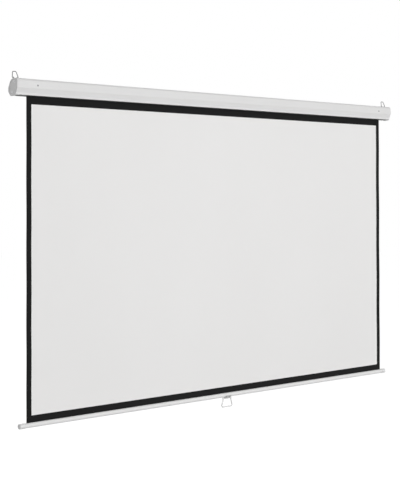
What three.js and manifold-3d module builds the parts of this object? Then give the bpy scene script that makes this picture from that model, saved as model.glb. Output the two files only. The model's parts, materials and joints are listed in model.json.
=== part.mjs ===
// Manual pull-down projection screen with a spring roller, drawn down to its full height.
// Millimetres. +X runs along the screen, +Y points to the wall, +Z is up.
// The origin is on the hanging line: midway between the two hooks, at the inside of their tops.
// Along Y the assembly is drawn from the wall, and along Z from the middle of the case's height.
import * as THREE from 'three';
import { mergeVertices } from 'three/addons/utils/BufferGeometryUtils.js';
import Module from 'manifold-3d';

const wasm = await Module();
wasm.setup();

// Driving dimensions: the picture, its borders and the drop
const VIEW_WIDTH = 2214;
const VIEW_HEIGHT = 1245;
const SIDE_BORDER = 25;
const TOP_DROP = 31.5;
const BOTTOM_BORDER = 28;
const FABRIC_TO_WALL = 33;
const BACKING_THICKNESS = 0.3;
const COATING_THICKNESS = 0.15;

// Driving dimensions: the case
const CASE_OVERHANG = 64.5;
const CASE_DEPTH = 62;
const CASE_HEIGHT = 68;
const CASE_WALL = 1;
const FRONT_TOP_RADIUS = 12;
const FRONT_SLOPE_HEIGHT = 19;
const FRONT_LIP_HEIGHT = 9;
const FRONT_LIP_SETBACK = 8;
const FLANGE_RISE = 2.5;
const FOLD_RADIUS = 3;
const BACK_FOOT_RUN = 14;
const BACK_FOOT_RISE = 15;
const BACK_FLAT_HEIGHT = 18;
const BACK_SHOULDER_RUN = 18.4;
const BACK_SHOULDER_RADIUS = 24;

// Driving dimensions: the bottom bar, the handle and the hooks
const BAR_OVERHANG = 36;
const BAR_RADIUS = 10;
const BAR_WALL = 1.2;
const BAR_SLOT = 2.5;
const HANDLE_TOP_WIDTH = 46;
const HANDLE_BOTTOM_WIDTH = 70;
const HANDLE_DROP = 39.5;
const HANDLE_ROD_RADIUS = 3;
const HANDLE_BEND = 7;
const HOOK_INSET = 17;
const HOOK_LEAN = THREE.MathUtils.degToRad(15);
const HOOK_BASE_WIDTH = 30;
const HOOK_TOP_WIDTH = 16.5;
const HOOK_RISE = 27;
const HOOK_WIRE_RADIUS = 1.75;
const HOOK_TOP_BEND = 5.5;

// Driving dimensions: the roller
const ROLLER_TO_WALL = 29;
const ROLLER_RISE = 1;
const ROLLER_RADIUS = 15;
const ROLLER_WALL = 0.8;
const SPARE_WRAPS = 0.6;

// Clearances and cutting overruns
const GAP = 0.3;
const SEAT = 0.05;
const HOLE_ROOM = 0.4;
const OVERRUN = 1;
const WELD = 1e-4;

// Smoothness: sides of round pieces and the widest step of an arc
const ROUND_SIDES = 24;
const SMALL_SIDES = 10;
const WIRE_SIDES = 10;
const ARC_STEP = Math.PI / 14;
const TAU = 2 * Math.PI;

// Sizes that several pieces share
const FABRIC_WIDTH = VIEW_WIDTH + 2 * SIDE_BORDER;
const CASE_HALF = FABRIC_WIDTH / 2 + CASE_OVERHANG;
const CASE_TOP = CASE_HEIGHT / 2;
const CASE_BOTTOM = -CASE_HEIGHT / 2;
const FABRIC_Y = -FABRIC_TO_WALL;
const ROLLER_Y = -ROLLER_TO_WALL;
const VIEW_TOP = CASE_BOTTOM - TOP_DROP;
const VIEW_BOTTOM = VIEW_TOP - VIEW_HEIGHT;
const BAR_TOP = VIEW_BOTTOM - BOTTOM_BORDER;
const BAR_Z = BAR_TOP - BAR_RADIUS;

const STEEL = { roughness: 0.35, metalness: 1 };
const finish = {
  casePaint: new THREE.MeshStandardMaterial({ color: 0xe4e4e2, roughness: 0.45, metalness: 0.1 }),
  capPlastic: new THREE.MeshStandardMaterial({ color: 0xdededc, roughness: 0.5, metalness: 0 }),
  barPaint: new THREE.MeshStandardMaterial({ color: 0xededeb, roughness: 0.35, metalness: 0.1 }),
  handlePlastic: new THREE.MeshStandardMaterial({ color: 0xf0f0ee, roughness: 0.4, metalness: 0 }),
  whiteCoating: new THREE.MeshStandardMaterial({ color: 0xebebe8, roughness: 0.9, metalness: 0 }),
  blackBacking: new THREE.MeshStandardMaterial({ color: 0x1b1b1c, roughness: 0.8, metalness: 0 }),
  zincSteel: new THREE.MeshStandardMaterial({ color: 0xa9abad, ...STEEL }),
  darkSteel: new THREE.MeshStandardMaterial({ color: 0x6a6b6d, ...STEEL }),
  springSteel: new THREE.MeshStandardMaterial({ color: 0x55575a, ...STEEL }),
  greyPlastic: new THREE.MeshStandardMaterial({ color: 0xb4b5b5, roughness: 0.55, metalness: 0 }),
  blackPlastic: new THREE.MeshStandardMaterial({ color: 0x2a2a2b, roughness: 0.6, metalness: 0 }),
};

// A closed geometry as a solid that can be joined and cut
function toSolid(geometry) {
  const bare = geometry.clone();
  bare.deleteAttribute('normal');
  bare.deleteAttribute('uv');
  const welded = mergeVertices(bare, WELD);
  const vertProperties = new Float32Array(welded.attributes.position.array);
  const triVerts = new Uint32Array(welded.index.array);
  return new wasm.Manifold(new wasm.Mesh({ numProp: 3, vertProperties, triVerts }));
}

function toGeometry(solid) {
  const mesh = solid.getMesh();
  const geometry = new THREE.BufferGeometry();
  geometry.setAttribute('position', new THREE.BufferAttribute(mesh.vertProperties, 3));
  geometry.setIndex(new THREE.BufferAttribute(mesh.triVerts, 1));
  return geometry;
}

const join = (...parts) => toGeometry(parts.map(toSolid).reduce((whole, part) => whole.add(part)));

const cut = (body, ...tools) =>
  toGeometry(tools.map(toSolid).reduce((rest, tool) => rest.subtract(tool), toSolid(body)));

// Bases that lay a shape or a turned profile along one axis of the part
const ALONG_X = new THREE.Matrix4().makeBasis(
  new THREE.Vector3(0, 1, 0),
  new THREE.Vector3(0, 0, 1),
  new THREE.Vector3(1, 0, 0),
);
const TURN_ABOUT_X = new THREE.Matrix4().makeBasis(
  new THREE.Vector3(0, 1, 0),
  new THREE.Vector3(1, 0, 0),
  new THREE.Vector3(0, 0, -1),
);
const TURN_ABOUT_Z = new THREE.Matrix4().makeBasis(
  new THREE.Vector3(1, 0, 0),
  new THREE.Vector3(0, 0, 1),
  new THREE.Vector3(0, -1, 0),
);

const toVector = ([a, b]) => new THREE.Vector2(a, b);

// A shape in the (y, z) plane carried along X from one place to another
function alongX(outline, xA, xB, holes = []) {
  const shape = new THREE.Shape(outline.map(toVector));
  holes.forEach((hole) => shape.holes.push(new THREE.Path(hole.map(toVector))));
  const low = Math.min(xA, xB);
  const geometry = new THREE.ExtrudeGeometry(shape, { depth: Math.abs(xB - xA), bevelEnabled: false });
  return geometry.translate(0, 0, low).applyMatrix4(ALONG_X);
}

// A profile of [place along the axis, radius] turned about X; places rise along its outer side
function turnedAboutX(profile, sides = ROUND_SIDES) {
  const points = profile.map(([place, radius]) => new THREE.Vector2(radius, place));
  return new THREE.LatheGeometry(points, sides).applyMatrix4(TURN_ABOUT_X);
}

function turnedAboutZ(profile, sides = SMALL_SIDES) {
  const points = profile.map(([place, radius]) => new THREE.Vector2(radius, place));
  return new THREE.LatheGeometry(points, sides).applyMatrix4(TURN_ABOUT_Z);
}

const rodProfile = (from, to, radius) => [[from, 0], [from, radius], [to, radius], [to, 0]];

const tubeProfile = (from, to, outer, inner) => [
  [from, inner], [from, outer], [to, outer], [to, inner], [from, inner],
];

// A block given by its lowest and highest corner
function block([xA, yA, zA], [xB, yB, zB]) {
  const box = new THREE.BoxGeometry(xB - xA, yB - yA, zB - zA);
  return box.translate((xA + xB) / 2, (yA + yB) / 2, (zA + zB) / 2);
}

// Points of an arc about a centre, at steps no wider than ARC_STEP
function arcPoints([y, z], radius, from, to) {
  const steps = Math.max(2, Math.ceil(Math.abs(to - from) / ARC_STEP));
  return Array.from({ length: steps + 1 }, (_, i) => {
    const angle = from + ((to - from) * i) / steps;
    return [y + radius * Math.cos(angle), z + radius * Math.sin(angle)];
  });
}

// Corners { y, z, r } of a closed outline, each rounded by its own radius
function rounded(corners) {
  return corners.flatMap((corner, i) => {
    if (!corner.r) return [[corner.y, corner.z]];
    const before = corners[(i + corners.length - 1) % corners.length];
    const after = corners[(i + 1) % corners.length];
    const headingIn = Math.atan2(corner.z - before.z, corner.y - before.y);
    const headingOut = Math.atan2(after.z - corner.z, after.y - corner.y);
    const turn = Math.atan2(Math.sin(headingOut - headingIn), Math.cos(headingOut - headingIn));
    const reach = corner.r * Math.tan(Math.abs(turn) / 2);
    const startY = corner.y - reach * Math.cos(headingIn);
    const startZ = corner.z - reach * Math.sin(headingIn);
    const side = Math.sign(turn) * (Math.PI / 2);
    const centreY = startY + corner.r * Math.cos(headingIn + side);
    const centreZ = startZ + corner.r * Math.sin(headingIn + side);
    return arcPoints([centreY, centreZ], corner.r, headingIn - side, headingIn - side + turn);
  });
}

// The corners moved inwards, with round corners kept on the same centres
function inset(corners, distance) {
  return corners.map((corner, i) => {
    const before = corners[(i + corners.length - 1) % corners.length];
    const after = corners[(i + 1) % corners.length];
    const headingIn = Math.atan2(corner.z - before.z, corner.y - before.y);
    const headingOut = Math.atan2(after.z - corner.z, after.y - corner.y);
    const turn = Math.atan2(Math.sin(headingOut - headingIn), Math.cos(headingOut - headingIn));
    const middle = headingIn + turn / 2 + Math.PI / 2;
    const reach = distance / Math.cos(turn / 2);
    const r = corner.r ? Math.max(0, corner.r - Math.sign(turn) * distance) : 0;
    return { y: corner.y + reach * Math.cos(middle), z: corner.z + reach * Math.sin(middle), r };
  });
}

// Slot in the underside: two edge trims with round noses, the front one guiding the fabric
const TRIM_WALL = 0.8;
const TRIM_HALF = CASE_WALL / 2 + GAP + TRIM_WALL;
const TRIM_BACKING = 0.7;
const TRIM_DEPTH = 5.2;
const TRIM_END_MARGIN = 18;
const TRIM_TO_LIP = 3;
const SLOT_WIDTH = 9.3;
const FRONT_NOSE_Y = FABRIC_Y - GAP;
const REAR_NOSE_Y = FRONT_NOSE_Y + SLOT_WIDTH;
const TRIM_Z = CASE_BOTTOM + CASE_WALL / 2;
const FRONT_EDGE_Y = FRONT_NOSE_Y - TRIM_HALF - TRIM_BACKING - GAP;
const REAR_EDGE_Y = REAR_NOSE_Y + TRIM_HALF + TRIM_BACKING + GAP;

// The flange between the front lip and the slot slants down to the centre of the front trim's nose
const LIP_Y = -CASE_DEPTH + FRONT_LIP_SETBACK;
const FRONT_BEND_Y = FRONT_NOSE_Y - TRIM_HALF;
const FLANGE_SLANT = Math.atan2(FLANGE_RISE, FRONT_BEND_Y - LIP_Y);
const flangeBottom = (y) =>
  TRIM_Z + (FRONT_BEND_Y - y) * Math.tan(FLANGE_SLANT) - CASE_WALL / 2 / Math.cos(FLANGE_SLANT);

// Case section, back to the wall at y = 0, seen from the left end with the front on the low side
const LIP_BOTTOM = flangeBottom(LIP_Y);
const LIP_TOP = LIP_BOTTOM + FRONT_LIP_HEIGHT;
const FRONT_FLAT_BOTTOM = LIP_TOP + FRONT_SLOPE_HEIGHT;
const BACK_FLAT_BOTTOM = CASE_BOTTOM + BACK_FOOT_RISE;
const BACK_FLAT_TOP = BACK_FLAT_BOTTOM + BACK_FLAT_HEIGHT;
const upperCorners = [
  { y: 0, z: BACK_FLAT_BOTTOM, r: FOLD_RADIUS },
  { y: 0, z: BACK_FLAT_TOP, r: 2 * FOLD_RADIUS },
  { y: -BACK_SHOULDER_RUN, z: CASE_TOP, r: BACK_SHOULDER_RADIUS },
  { y: -CASE_DEPTH, z: CASE_TOP, r: FRONT_TOP_RADIUS },
  { y: -CASE_DEPTH, z: FRONT_FLAT_BOTTOM, r: FOLD_RADIUS },
  { y: LIP_Y, z: LIP_TOP, r: FOLD_RADIUS / 2 },
];
const caseCorners = [
  { y: REAR_EDGE_Y, z: CASE_BOTTOM, r: 0 },
  { y: -BACK_FOOT_RUN, z: CASE_BOTTOM, r: FOLD_RADIUS },
  ...upperCorners,
  { y: LIP_Y, z: LIP_BOTTOM, r: FOLD_RADIUS / 2 },
  { y: FRONT_EDGE_Y, z: flangeBottom(FRONT_EDGE_Y), r: 0 },
];

// The caps' outline follows the case and closes it below, with a skirt that is lower behind than at the lip
const CAP_SKIRT = 2;
const CAP_LIP_SKIRT = 1;
const capCorners = [
  { y: LIP_Y, z: LIP_BOTTOM - CAP_LIP_SKIRT, r: 2 * FOLD_RADIUS },
  { y: FRONT_BEND_Y, z: CASE_BOTTOM - CAP_SKIRT, r: 2 * FOLD_RADIUS },
  { y: -BACK_FOOT_RUN, z: CASE_BOTTOM - CAP_SKIRT, r: 2 * FOLD_RADIUS },
  ...upperCorners,
];

// Centre of the round back shoulder, on which the hooks stand
const SHOULDER_TURN = Math.PI / 2 - Math.atan2(BACK_SHOULDER_RUN, CASE_TOP - BACK_FLAT_TOP);
const SHOULDER_Y = -BACK_SHOULDER_RUN - BACK_SHOULDER_RADIUS * Math.tan(SHOULDER_TURN / 2);
const SHOULDER_Z = CASE_TOP - BACK_SHOULDER_RADIUS;

// End pieces, from the outside inwards
const CAP_PLATE = 4.5;
const CAP_RIM = 5;
const CAP_RECESS = 1.2;
const CAP_EDGE = 0.8;
const SPIGOT_DEPTH = 10;
const SPIGOT_WALL = 2;
const BRACKET_PLATE = 2;
const BRACKET_CLEARANCE = 0.8;
const ROLLER_END_ROOM = 19.7;
const SHELL_HALF = CASE_HALF - CAP_PLATE;
const SPIGOT_END = SHELL_HALF - SPIGOT_DEPTH;
const PLATE_OUT = SPIGOT_END - GAP;
const PLATE_IN = PLATE_OUT - BRACKET_PLATE;
const TUBE_HALF = PLATE_IN - ROLLER_END_ROOM;

// Fastenings of the ends: cap screws and the front rivet that holds the bracket's strap
const SCREW_RADIUS = 1.8;
const SCREW_HEAD_RADIUS = 3.6;
const SCREW_HEAD_HEIGHT = 1.1;
const UPPER_SCREW_IN = 22;
const UPPER_SCREW_DOWN = 14;
const LOWER_SCREW_IN = 25;
const LOWER_SCREW_UP = 12;
const CAP_SCREWS = [
  { name: 'upper', y: -CASE_DEPTH + UPPER_SCREW_IN, z: CASE_TOP - UPPER_SCREW_DOWN },
  { name: 'lower', y: -LOWER_SCREW_IN, z: CASE_BOTTOM + LOWER_SCREW_UP },
];
const SCREW_LENGTH_INSIDE = 1.7;
const RIVET_RADIUS = 1.6;
const FRONT_RIVET_INSET = 100.5;
const FRONT_RIVET_X = CASE_HALF - FRONT_RIVET_INSET;
const FRONT_RIVET_DOWN = 25.5;
const FRONT_RIVET_Z = CASE_TOP - FRONT_RIVET_DOWN;
const RIVET_HEAD_RADIUS = 3.8;
const RIVET_HEAD_HEIGHT = 1.4;
const STRAP_HEIGHT = 14;
const STRAP_THICKNESS = 1.5;
const STRAP_END_MARGIN = 8;

// Hooks: a wire bail whose feet turn in the ears of a riveted saddle, measured from the shoulder's centre
const HOOK_X = CASE_HALF - HOOK_INSET;
const SADDLE_PLATE = 1.2;
const SADDLE_DEPTH = 14;
const EAR_RADIUS = 4;
const EAR_THICKNESS = 2;
const EAR_INSET = 5;
const EAR_OUTER = HOOK_BASE_WIDTH / 2 - EAR_INSET;
const FOOT_RUN = 8.5;
const FOOT_INNER = HOOK_BASE_WIDTH / 2 - FOOT_RUN;
const FOOT_BEND = 3;
const PIVOT_RISE = 3;
const SADDLE_SEAT = BACK_SHOULDER_RADIUS + GAP / 2;
const SADDLE_TURN = THREE.MathUtils.degToRad(17);
const SADDLE_RIVET_IN = 3.2;
const HOOK_PIVOT = SADDLE_SEAT + SADDLE_PLATE + PIVOT_RISE;
const PIVOT_Y = HOOK_PIVOT * Math.sin(SADDLE_TURN);
const PIVOT_Z = HOOK_PIVOT * Math.cos(SADDLE_TURN);
const HOOK_REACH = HOOK_RISE - HOOK_WIRE_RADIUS;
const HANGING_Y = SHOULDER_Y + PIVOT_Y + HOOK_REACH * Math.sin(HOOK_LEAN);
const HANGING_Z = SHOULDER_Z + PIVOT_Z + HOOK_REACH * Math.cos(HOOK_LEAN);
const HOOK_RIVET_HEAD = 2.4;

// Bottom bar, its handle bracket and pin
const BAR_CAP_LENGTH = 27;
const BAR_CAP_WALL = 0.7;
const BAR_CAP_END = 2.7;
const BAR_HALF = FABRIC_WIDTH / 2 + BAR_OVERHANG;
const HEM_ROD_RADIUS = 3;
const HEM_THICKNESS = 0.6;
const HEM_RADIUS = HEM_ROD_RADIUS + GAP + HEM_THICKNESS;
const HEM_Z = BAR_RADIUS - BAR_WALL - GAP - HEM_RADIUS;
const BRACKET_WIDTH = 35;
const BRACKET_WALL = 1.3;
const BRACKET_SPAN = 1.5;
const PIN_RADIUS = 1.5;
const PIN_HEAD_RADIUS = 2.8;
const PIN_HEAD_LENGTH = 1.2;
const KNUCKLE_RADIUS = 3.4;
const EYE_RADIUS = 3.4;
const EYE_SHOULDER = 0.8;
const PIN_Z = -(BAR_RADIUS + GAP + KNUCKLE_RADIUS + GAP);
const BAR_RIVET_X = 11;
const BAR_RIVET_RADIUS = 1.4;
const BAR_RIVET_HEAD = 2.5;
const BAR_RIVET_HEAD_HEIGHT = 1.1;
const BAR_RIVET_LEAN = 0.87;

// Roller end works: idle pin on the left, ratchet and fixed spindle on the right
const PLUG_SPIGOT = 25;
const PLUG_FLANGE = 4;
const IDLE_PIN_RADIUS = 4;
const SHOULDER_RADIUS = 6.5;
const BUSH_WALL = 2.7;
const BUSH_FLANGE = 2;
const BUSH_STICK_OUT = 1.8;
const IDLE_PIN_STICK_OUT = 3.3;
const TANG_STICK_OUT = 3.3;
const SPINDLE_RADIUS = 5;
const TANG_HEIGHT = 8;
const TANG_WIDTH = 4;
const RATCHET_RADIUS = 8;
const RATCHET_FLANGE_RADIUS = 18;
const PAWL_THICKNESS = 3.2;
const PAWL_PIN_CIRCLE = 13;
const PAWL_PIN_RADIUS = 1.5;
const PAWL_PIN_HEAD = 2.6;
const PAWL_PIN_HEAD_LENGTH = 1.2;
const PAWL_HUB_RADIUS = 3;
const PAWL_NOSE_RADIUS = 1;
const PAWL_LENGTH = 11.75;
const PAWL_OPEN_ANGLE = 0.89;
const NOTCH_STEPS = 3;
const PAWL_ENGAGED_ANGLE = 0.616;
const SPRING_COIL_RADIUS = 9.5;
const SPRING_WIRE_RADIUS = 1.1;
const SPRING_TURNS = 30;
const SPRING_PITCH = 9.4;
const SPRING_STEPS_A_TURN = 8;
const SPRING_SIDES = 4;
const SPRING_ROD_RADIUS = 4.5;
const SPRING_ROD_TAIL = 5;
const SOCKET_DEPTH = 15;
const SOCKET_RADIUS = 3.3;
const ANCHOR_WIDTH = 6;

const ROLL_RADIUS = ROLLER_RADIUS + GAP + SPARE_WRAPS;
const TUBE_BORE = ROLLER_RADIUS - ROLLER_WALL;
const FLANGE_IN = TUBE_HALF + GAP;
const FLANGE_OUT = FLANGE_IN + PLUG_FLANGE;
const PAWL_IN = FLANGE_OUT + GAP;
const PAWL_OUT = PAWL_IN + PAWL_THICKNESS;
const PLUG_END = TUBE_HALF - PLUG_SPIGOT;
const SPINDLE_END = PLUG_END - SOCKET_DEPTH;

// Case shell: one folded sheet from one edge of the slot round to the other
function caseShell() {
  const section = [...caseCorners, ...inset(caseCorners, CASE_WALL).reverse()];
  const sheet = alongX(rounded(section), -SHELL_HALF + SEAT, SHELL_HALF - SEAT);
  const holes = [-1, 1].flatMap((side) => [
    crossHole(side * FRONT_RIVET_X, FRONT_RIVET_Z),
    saddleHole(side).translate(side * HOOK_X, SHOULDER_Y, SHOULDER_Z),
  ]);
  return cut(sheet, ...holes);
}

// Rivet holes through the case: one across the front wall, one through the shoulder under a hook
function crossHole(x, z) {
  const reach = CASE_WALL + GAP + STRAP_THICKNESS + OVERRUN;
  const radius = RIVET_RADIUS + HOLE_ROOM;
  return new THREE.CylinderGeometry(radius, radius, 2 * reach, SMALL_SIDES).translate(x, -CASE_DEPTH, z);
}

const ontoShoulder = (geometry) => geometry.rotateX(-SADDLE_TURN);

// The saddle's rivet stands nearer the screen's middle than the hook, clear of the bracket behind the cap
function saddleHole(side) {
  const inner = BACK_SHOULDER_RADIUS - CASE_WALL - OVERRUN;
  const outer = SADDLE_SEAT + SADDLE_PLATE + OVERRUN;
  const hole = turnedAboutZ(rodProfile(inner, outer, RIVET_RADIUS + HOLE_ROOM));
  return ontoShoulder(hole.translate(-side * SADDLE_RIVET_IN, 0, 0));
}

// A hole for a cap screw, drawn from the end of the shell outwards
function screwHole(side, { y, z }) {
  const inner = side * (PLATE_IN - SHELL_HALF - OVERRUN);
  const outer = side * (CAP_PLATE + OVERRUN);
  const hole = rodProfile(Math.min(inner, outer), Math.max(inner, outer), SCREW_RADIUS + HOLE_ROOM);
  return turnedAboutX(hole, SMALL_SIDES).translate(0, y, z);
}

// Half a turn about Z, which carries a turned piece from the right end to the left one
const TURN_ROUND = new THREE.Matrix4().makeRotationZ(Math.PI);

// End cap, drawn from the end of the shell outwards: a bevelled plate with a recessed face and a spigot
function endCap(side) {
  const outline = new THREE.Shape(rounded(capCorners).map(toVector));
  const bevel = { bevelThickness: CAP_EDGE, bevelSize: CAP_EDGE, bevelOffset: -CAP_EDGE, bevelSegments: 1 };
  const start = side < 0 ? CAP_EDGE - CAP_PLATE : CAP_EDGE;
  const plate = new THREE.ExtrudeGeometry(outline, { depth: CAP_PLATE - 2 * CAP_EDGE, ...bevel })
    .translate(0, 0, start).applyMatrix4(ALONG_X);
  const spigotOuter = inset(caseCorners, CASE_WALL + GAP);
  const spigotInner = inset(caseCorners, CASE_WALL + GAP + SPIGOT_WALL);
  const spigot = alongX(rounded(spigotOuter), -side * SPIGOT_DEPTH, side * OVERRUN, [rounded(spigotInner)]);
  const recess = alongX(rounded(inset(capCorners, CAP_RIM)), side * (CAP_PLATE - CAP_RECESS),
    side * (CAP_PLATE + OVERRUN));
  return cut(join(plate, spigot), recess, ...CAP_SCREWS.map((screw) => screwHole(side, screw)));
}

// Cap screw, drawn like the cap: its tip reaches through the bracket, its head lies in the recess
function capScrew() {
  const tip = PLATE_IN - SHELL_HALF - SCREW_LENGTH_INSIDE;
  const floor = CAP_PLATE - CAP_RECESS + SEAT;
  const crown = floor + SCREW_HEAD_HEIGHT;
  return turnedAboutX([
    [tip, 0], [tip, SCREW_RADIUS], [floor, SCREW_RADIUS],
    [floor, SCREW_HEAD_RADIUS], [floor + SCREW_HEAD_HEIGHT / 2, SCREW_HEAD_RADIUS],
    [crown, SCREW_HEAD_RADIUS / 2], [crown, 0],
  ], SMALL_SIDES);
}

// End bracket: a plate across the case behind the cap, with a strap riveted to the front wall
function endBracket(side) {
  const plateIn = side * (PLATE_IN - SHELL_HALF);
  const plateOut = side * (PLATE_OUT - SHELL_HALF);
  const plate = alongX(rounded(inset(caseCorners, CASE_WALL + BRACKET_CLEARANCE)), plateIn, plateOut);
  const strapFront = -CASE_DEPTH + CASE_WALL + GAP;
  const strapEnd = side * (FRONT_RIVET_X - STRAP_END_MARGIN - SHELL_HALF);
  const strap = block(
    [Math.min(strapEnd, plateOut), strapFront, FRONT_RIVET_Z - STRAP_HEIGHT / 2],
    [Math.max(strapEnd, plateOut), strapFront + STRAP_THICKNESS, FRONT_RIVET_Z + STRAP_HEIGHT / 2],
  );
  const seat = side < 0 ? bushHole() : tangSlot();
  const rivetHole = crossHole(side * (FRONT_RIVET_X - SHELL_HALF), FRONT_RIVET_Z);
  return cut(join(plate, strap), seat, rivetHole, ...CAP_SCREWS.map((screw) => screwHole(side, screw)));
}

const BUSH_RADIUS = IDLE_PIN_RADIUS + GAP + BUSH_WALL;

function bushHole() {
  const inner = SHELL_HALF - PLATE_IN + OVERRUN;
  const hole = turnedAboutX(rodProfile(SHELL_HALF - PLATE_OUT - OVERRUN, inner, BUSH_RADIUS + GAP));
  return hole.translate(0, ROLLER_Y, ROLLER_RISE);
}

function tangSlot() {
  const halfY = TANG_WIDTH / 2 + GAP;
  const halfZ = TANG_HEIGHT / 2 + GAP;
  return block([PLATE_IN - SHELL_HALF - OVERRUN, ROLLER_Y - halfY, ROLLER_RISE - halfZ],
    [PLATE_OUT - SHELL_HALF + OVERRUN, ROLLER_Y + halfY, ROLLER_RISE + halfZ]);
}

// Rivet with its domed head on the low side of its place and a flat tail behind the layers
function rivetProfile(layers) {
  const tail = layers + GAP;
  return [
    [-RIVET_HEAD_HEIGHT, 0], [-RIVET_HEAD_HEIGHT, RIVET_HEAD_RADIUS / 2],
    [-RIVET_HEAD_HEIGHT / 2, RIVET_HEAD_RADIUS], [-SEAT, RIVET_HEAD_RADIUS], [-SEAT, RIVET_RADIUS],
    [tail, RIVET_RADIUS], [tail, RIVET_HEAD_RADIUS], [tail + RIVET_HEAD_HEIGHT / 2, RIVET_HEAD_RADIUS],
    [tail + RIVET_HEAD_HEIGHT / 2, 0],
  ];
}

function frontRivet() {
  const points = rivetProfile(CASE_WALL + GAP + STRAP_THICKNESS).map(([place, radius]) =>
    new THREE.Vector2(radius, place));
  return new THREE.LatheGeometry(points, SMALL_SIDES);
}

// A trim's section, drawn about the centre of its round nose: a sleeve over the sheet's edge
function trimSection(lowerLeaf) {
  const upperLeaf = TRIM_DEPTH - TRIM_HALF;
  const half = CASE_WALL / 2 + GAP;
  return [
    [-lowerLeaf, -TRIM_HALF], ...arcPoints([0, 0], TRIM_HALF, -Math.PI / 2, Math.PI / 2),
    [-upperLeaf, TRIM_HALF], [-upperLeaf, half], [-TRIM_BACKING, half],
    [-TRIM_BACKING, -half], [-lowerLeaf, -half],
  ];
}

const trimAlongX = (section) => alongX(section, TRIM_END_MARGIN - SHELL_HALF, SHELL_HALF - TRIM_END_MARGIN);

// Front trim: it follows the slanted flange, and its lower leaf covers the flange's underside
function frontTrim() {
  const leaf = (FRONT_BEND_Y - LIP_Y - TRIM_TO_LIP) / Math.cos(FLANGE_SLANT);
  const trim = trimAlongX(trimSection(leaf));
  return trim.rotateX(-FLANGE_SLANT).translate(0, FRONT_BEND_Y, TRIM_Z);
}

function rearTrim() {
  const trim = trimAlongX(trimSection(TRIM_DEPTH - TRIM_HALF));
  return trim.rotateZ(Math.PI).translate(0, REAR_NOSE_Y + TRIM_HALF, TRIM_Z);
}

// A bent wire: a path that passes through each of its points in turn
class BentPath extends THREE.Curve {
  constructor(points) {
    super();
    this.points = points;
  }

  getPointAt(share, target = new THREE.Vector3()) {
    return target.copy(this.points[Math.round(share * (this.points.length - 1))]);
  }

  getTangentAt(share, target = new THREE.Vector3()) {
    const last = this.points.length - 1;
    const place = Math.round(share * last);
    const after = this.points[Math.min(last, place + 1)];
    return target.subVectors(after, this.points[Math.max(0, place - 1)]).normalize();
  }
}

// A round wire swept along corners { y, z, r } that lie in the (x, z) plane
function bentWire(corners, wireRadius) {
  const points = openRounded(corners).map(([x, z]) => new THREE.Vector3(x, 0, z));
  const section = new THREE.Shape().absarc(0, 0, wireRadius, 0, TAU);
  const extrudePath = new BentPath(points);
  const settings = { steps: points.length - 1, curveSegments: WIRE_SIDES / 2, extrudePath };
  return new THREE.ExtrudeGeometry(section, settings);
}

// Corners of an open route: the two ends stay sharp, the others are rounded
const openRounded = (corners) =>
  rounded(corners.map((corner, i) => (i === 0 || i === corners.length - 1 ? { ...corner, r: 0 } : corner)));

function hook() {
  const base = HOOK_BASE_WIDTH / 2;
  const top = HOOK_TOP_WIDTH / 2;
  return bentWire([
    { y: -FOOT_INNER, z: 0 },
    { y: -base, z: 0, r: FOOT_BEND },
    { y: -top, z: HOOK_RISE, r: HOOK_TOP_BEND },
    { y: top, z: HOOK_RISE, r: HOOK_TOP_BEND },
    { y: base, z: 0, r: FOOT_BEND },
    { y: FOOT_INNER, z: 0 },
  ], HOOK_WIRE_RADIUS);
}

// Saddle: a plate bent to the shoulder with two upright ears, drawn about the shoulder's centre
function hookSaddle(side) {
  const up = Math.PI / 2;
  const reach = SADDLE_DEPTH / 2 / BACK_SHOULDER_RADIUS;
  const plate = alongX([
    ...arcPoints([0, 0], SADDLE_SEAT + SADDLE_PLATE, up - reach, up + reach),
    ...arcPoints([0, 0], SADDLE_SEAT, up + reach, up - reach),
  ], -EAR_OUTER, EAR_OUTER);
  const foot = SADDLE_SEAT + SADDLE_PLATE / 2;
  const crown = arcPoints([0, HOOK_PIVOT], EAR_RADIUS, 0, Math.PI);
  const outline = [[-EAR_RADIUS, foot], [EAR_RADIUS, foot], ...crown];
  const ears = [-EAR_OUTER, EAR_OUTER - EAR_THICKNESS].map((x) => alongX(outline, x, x + EAR_THICKNESS));
  const boreEnd = EAR_OUTER + OVERRUN;
  const bore = turnedAboutX(rodProfile(-boreEnd, boreEnd, HOOK_WIRE_RADIUS + HOLE_ROOM), SMALL_SIDES)
    .translate(0, 0, HOOK_PIVOT);
  return cut(ontoShoulder(cut(join(plate, ...ears), bore)), saddleHole(side));
}

// Saddle rivet, head up, its flat tail inside the case
function hookRivet(side) {
  const layers = CASE_WALL + GAP / 2 + SADDLE_PLATE;
  const tail = -layers - GAP;
  const foot = tail - RIVET_HEAD_HEIGHT / 2;
  const head = HOOK_RIVET_HEAD;
  return turnedAboutZ([
    [foot, 0], [foot, head], [tail, head], [tail, RIVET_RADIUS], [SEAT, RIVET_RADIUS], [SEAT, head],
    [RIVET_HEAD_HEIGHT / 2, head], [RIVET_HEAD_HEIGHT, head / 2], [RIVET_HEAD_HEIGHT, 0],
  ]).translate(-side * SADDLE_RIVET_IN, 0, SADDLE_SEAT + SADDLE_PLATE);
}

// Left end of the roller: plug, shouldered pin and bush
function idlePlug() {
  const bore = IDLE_PIN_RADIUS + GAP;
  return turnedAboutX([
    [-FLANGE_OUT, bore], [-FLANGE_OUT, ROLLER_RADIUS], [-FLANGE_IN, ROLLER_RADIUS],
    [-FLANGE_IN, TUBE_BORE - GAP], [-PLUG_END, TUBE_BORE - GAP], [-PLUG_END, bore], [-FLANGE_OUT, bore],
  ]);
}

const BUSH_FACE = PLATE_IN - SEAT;

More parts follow.
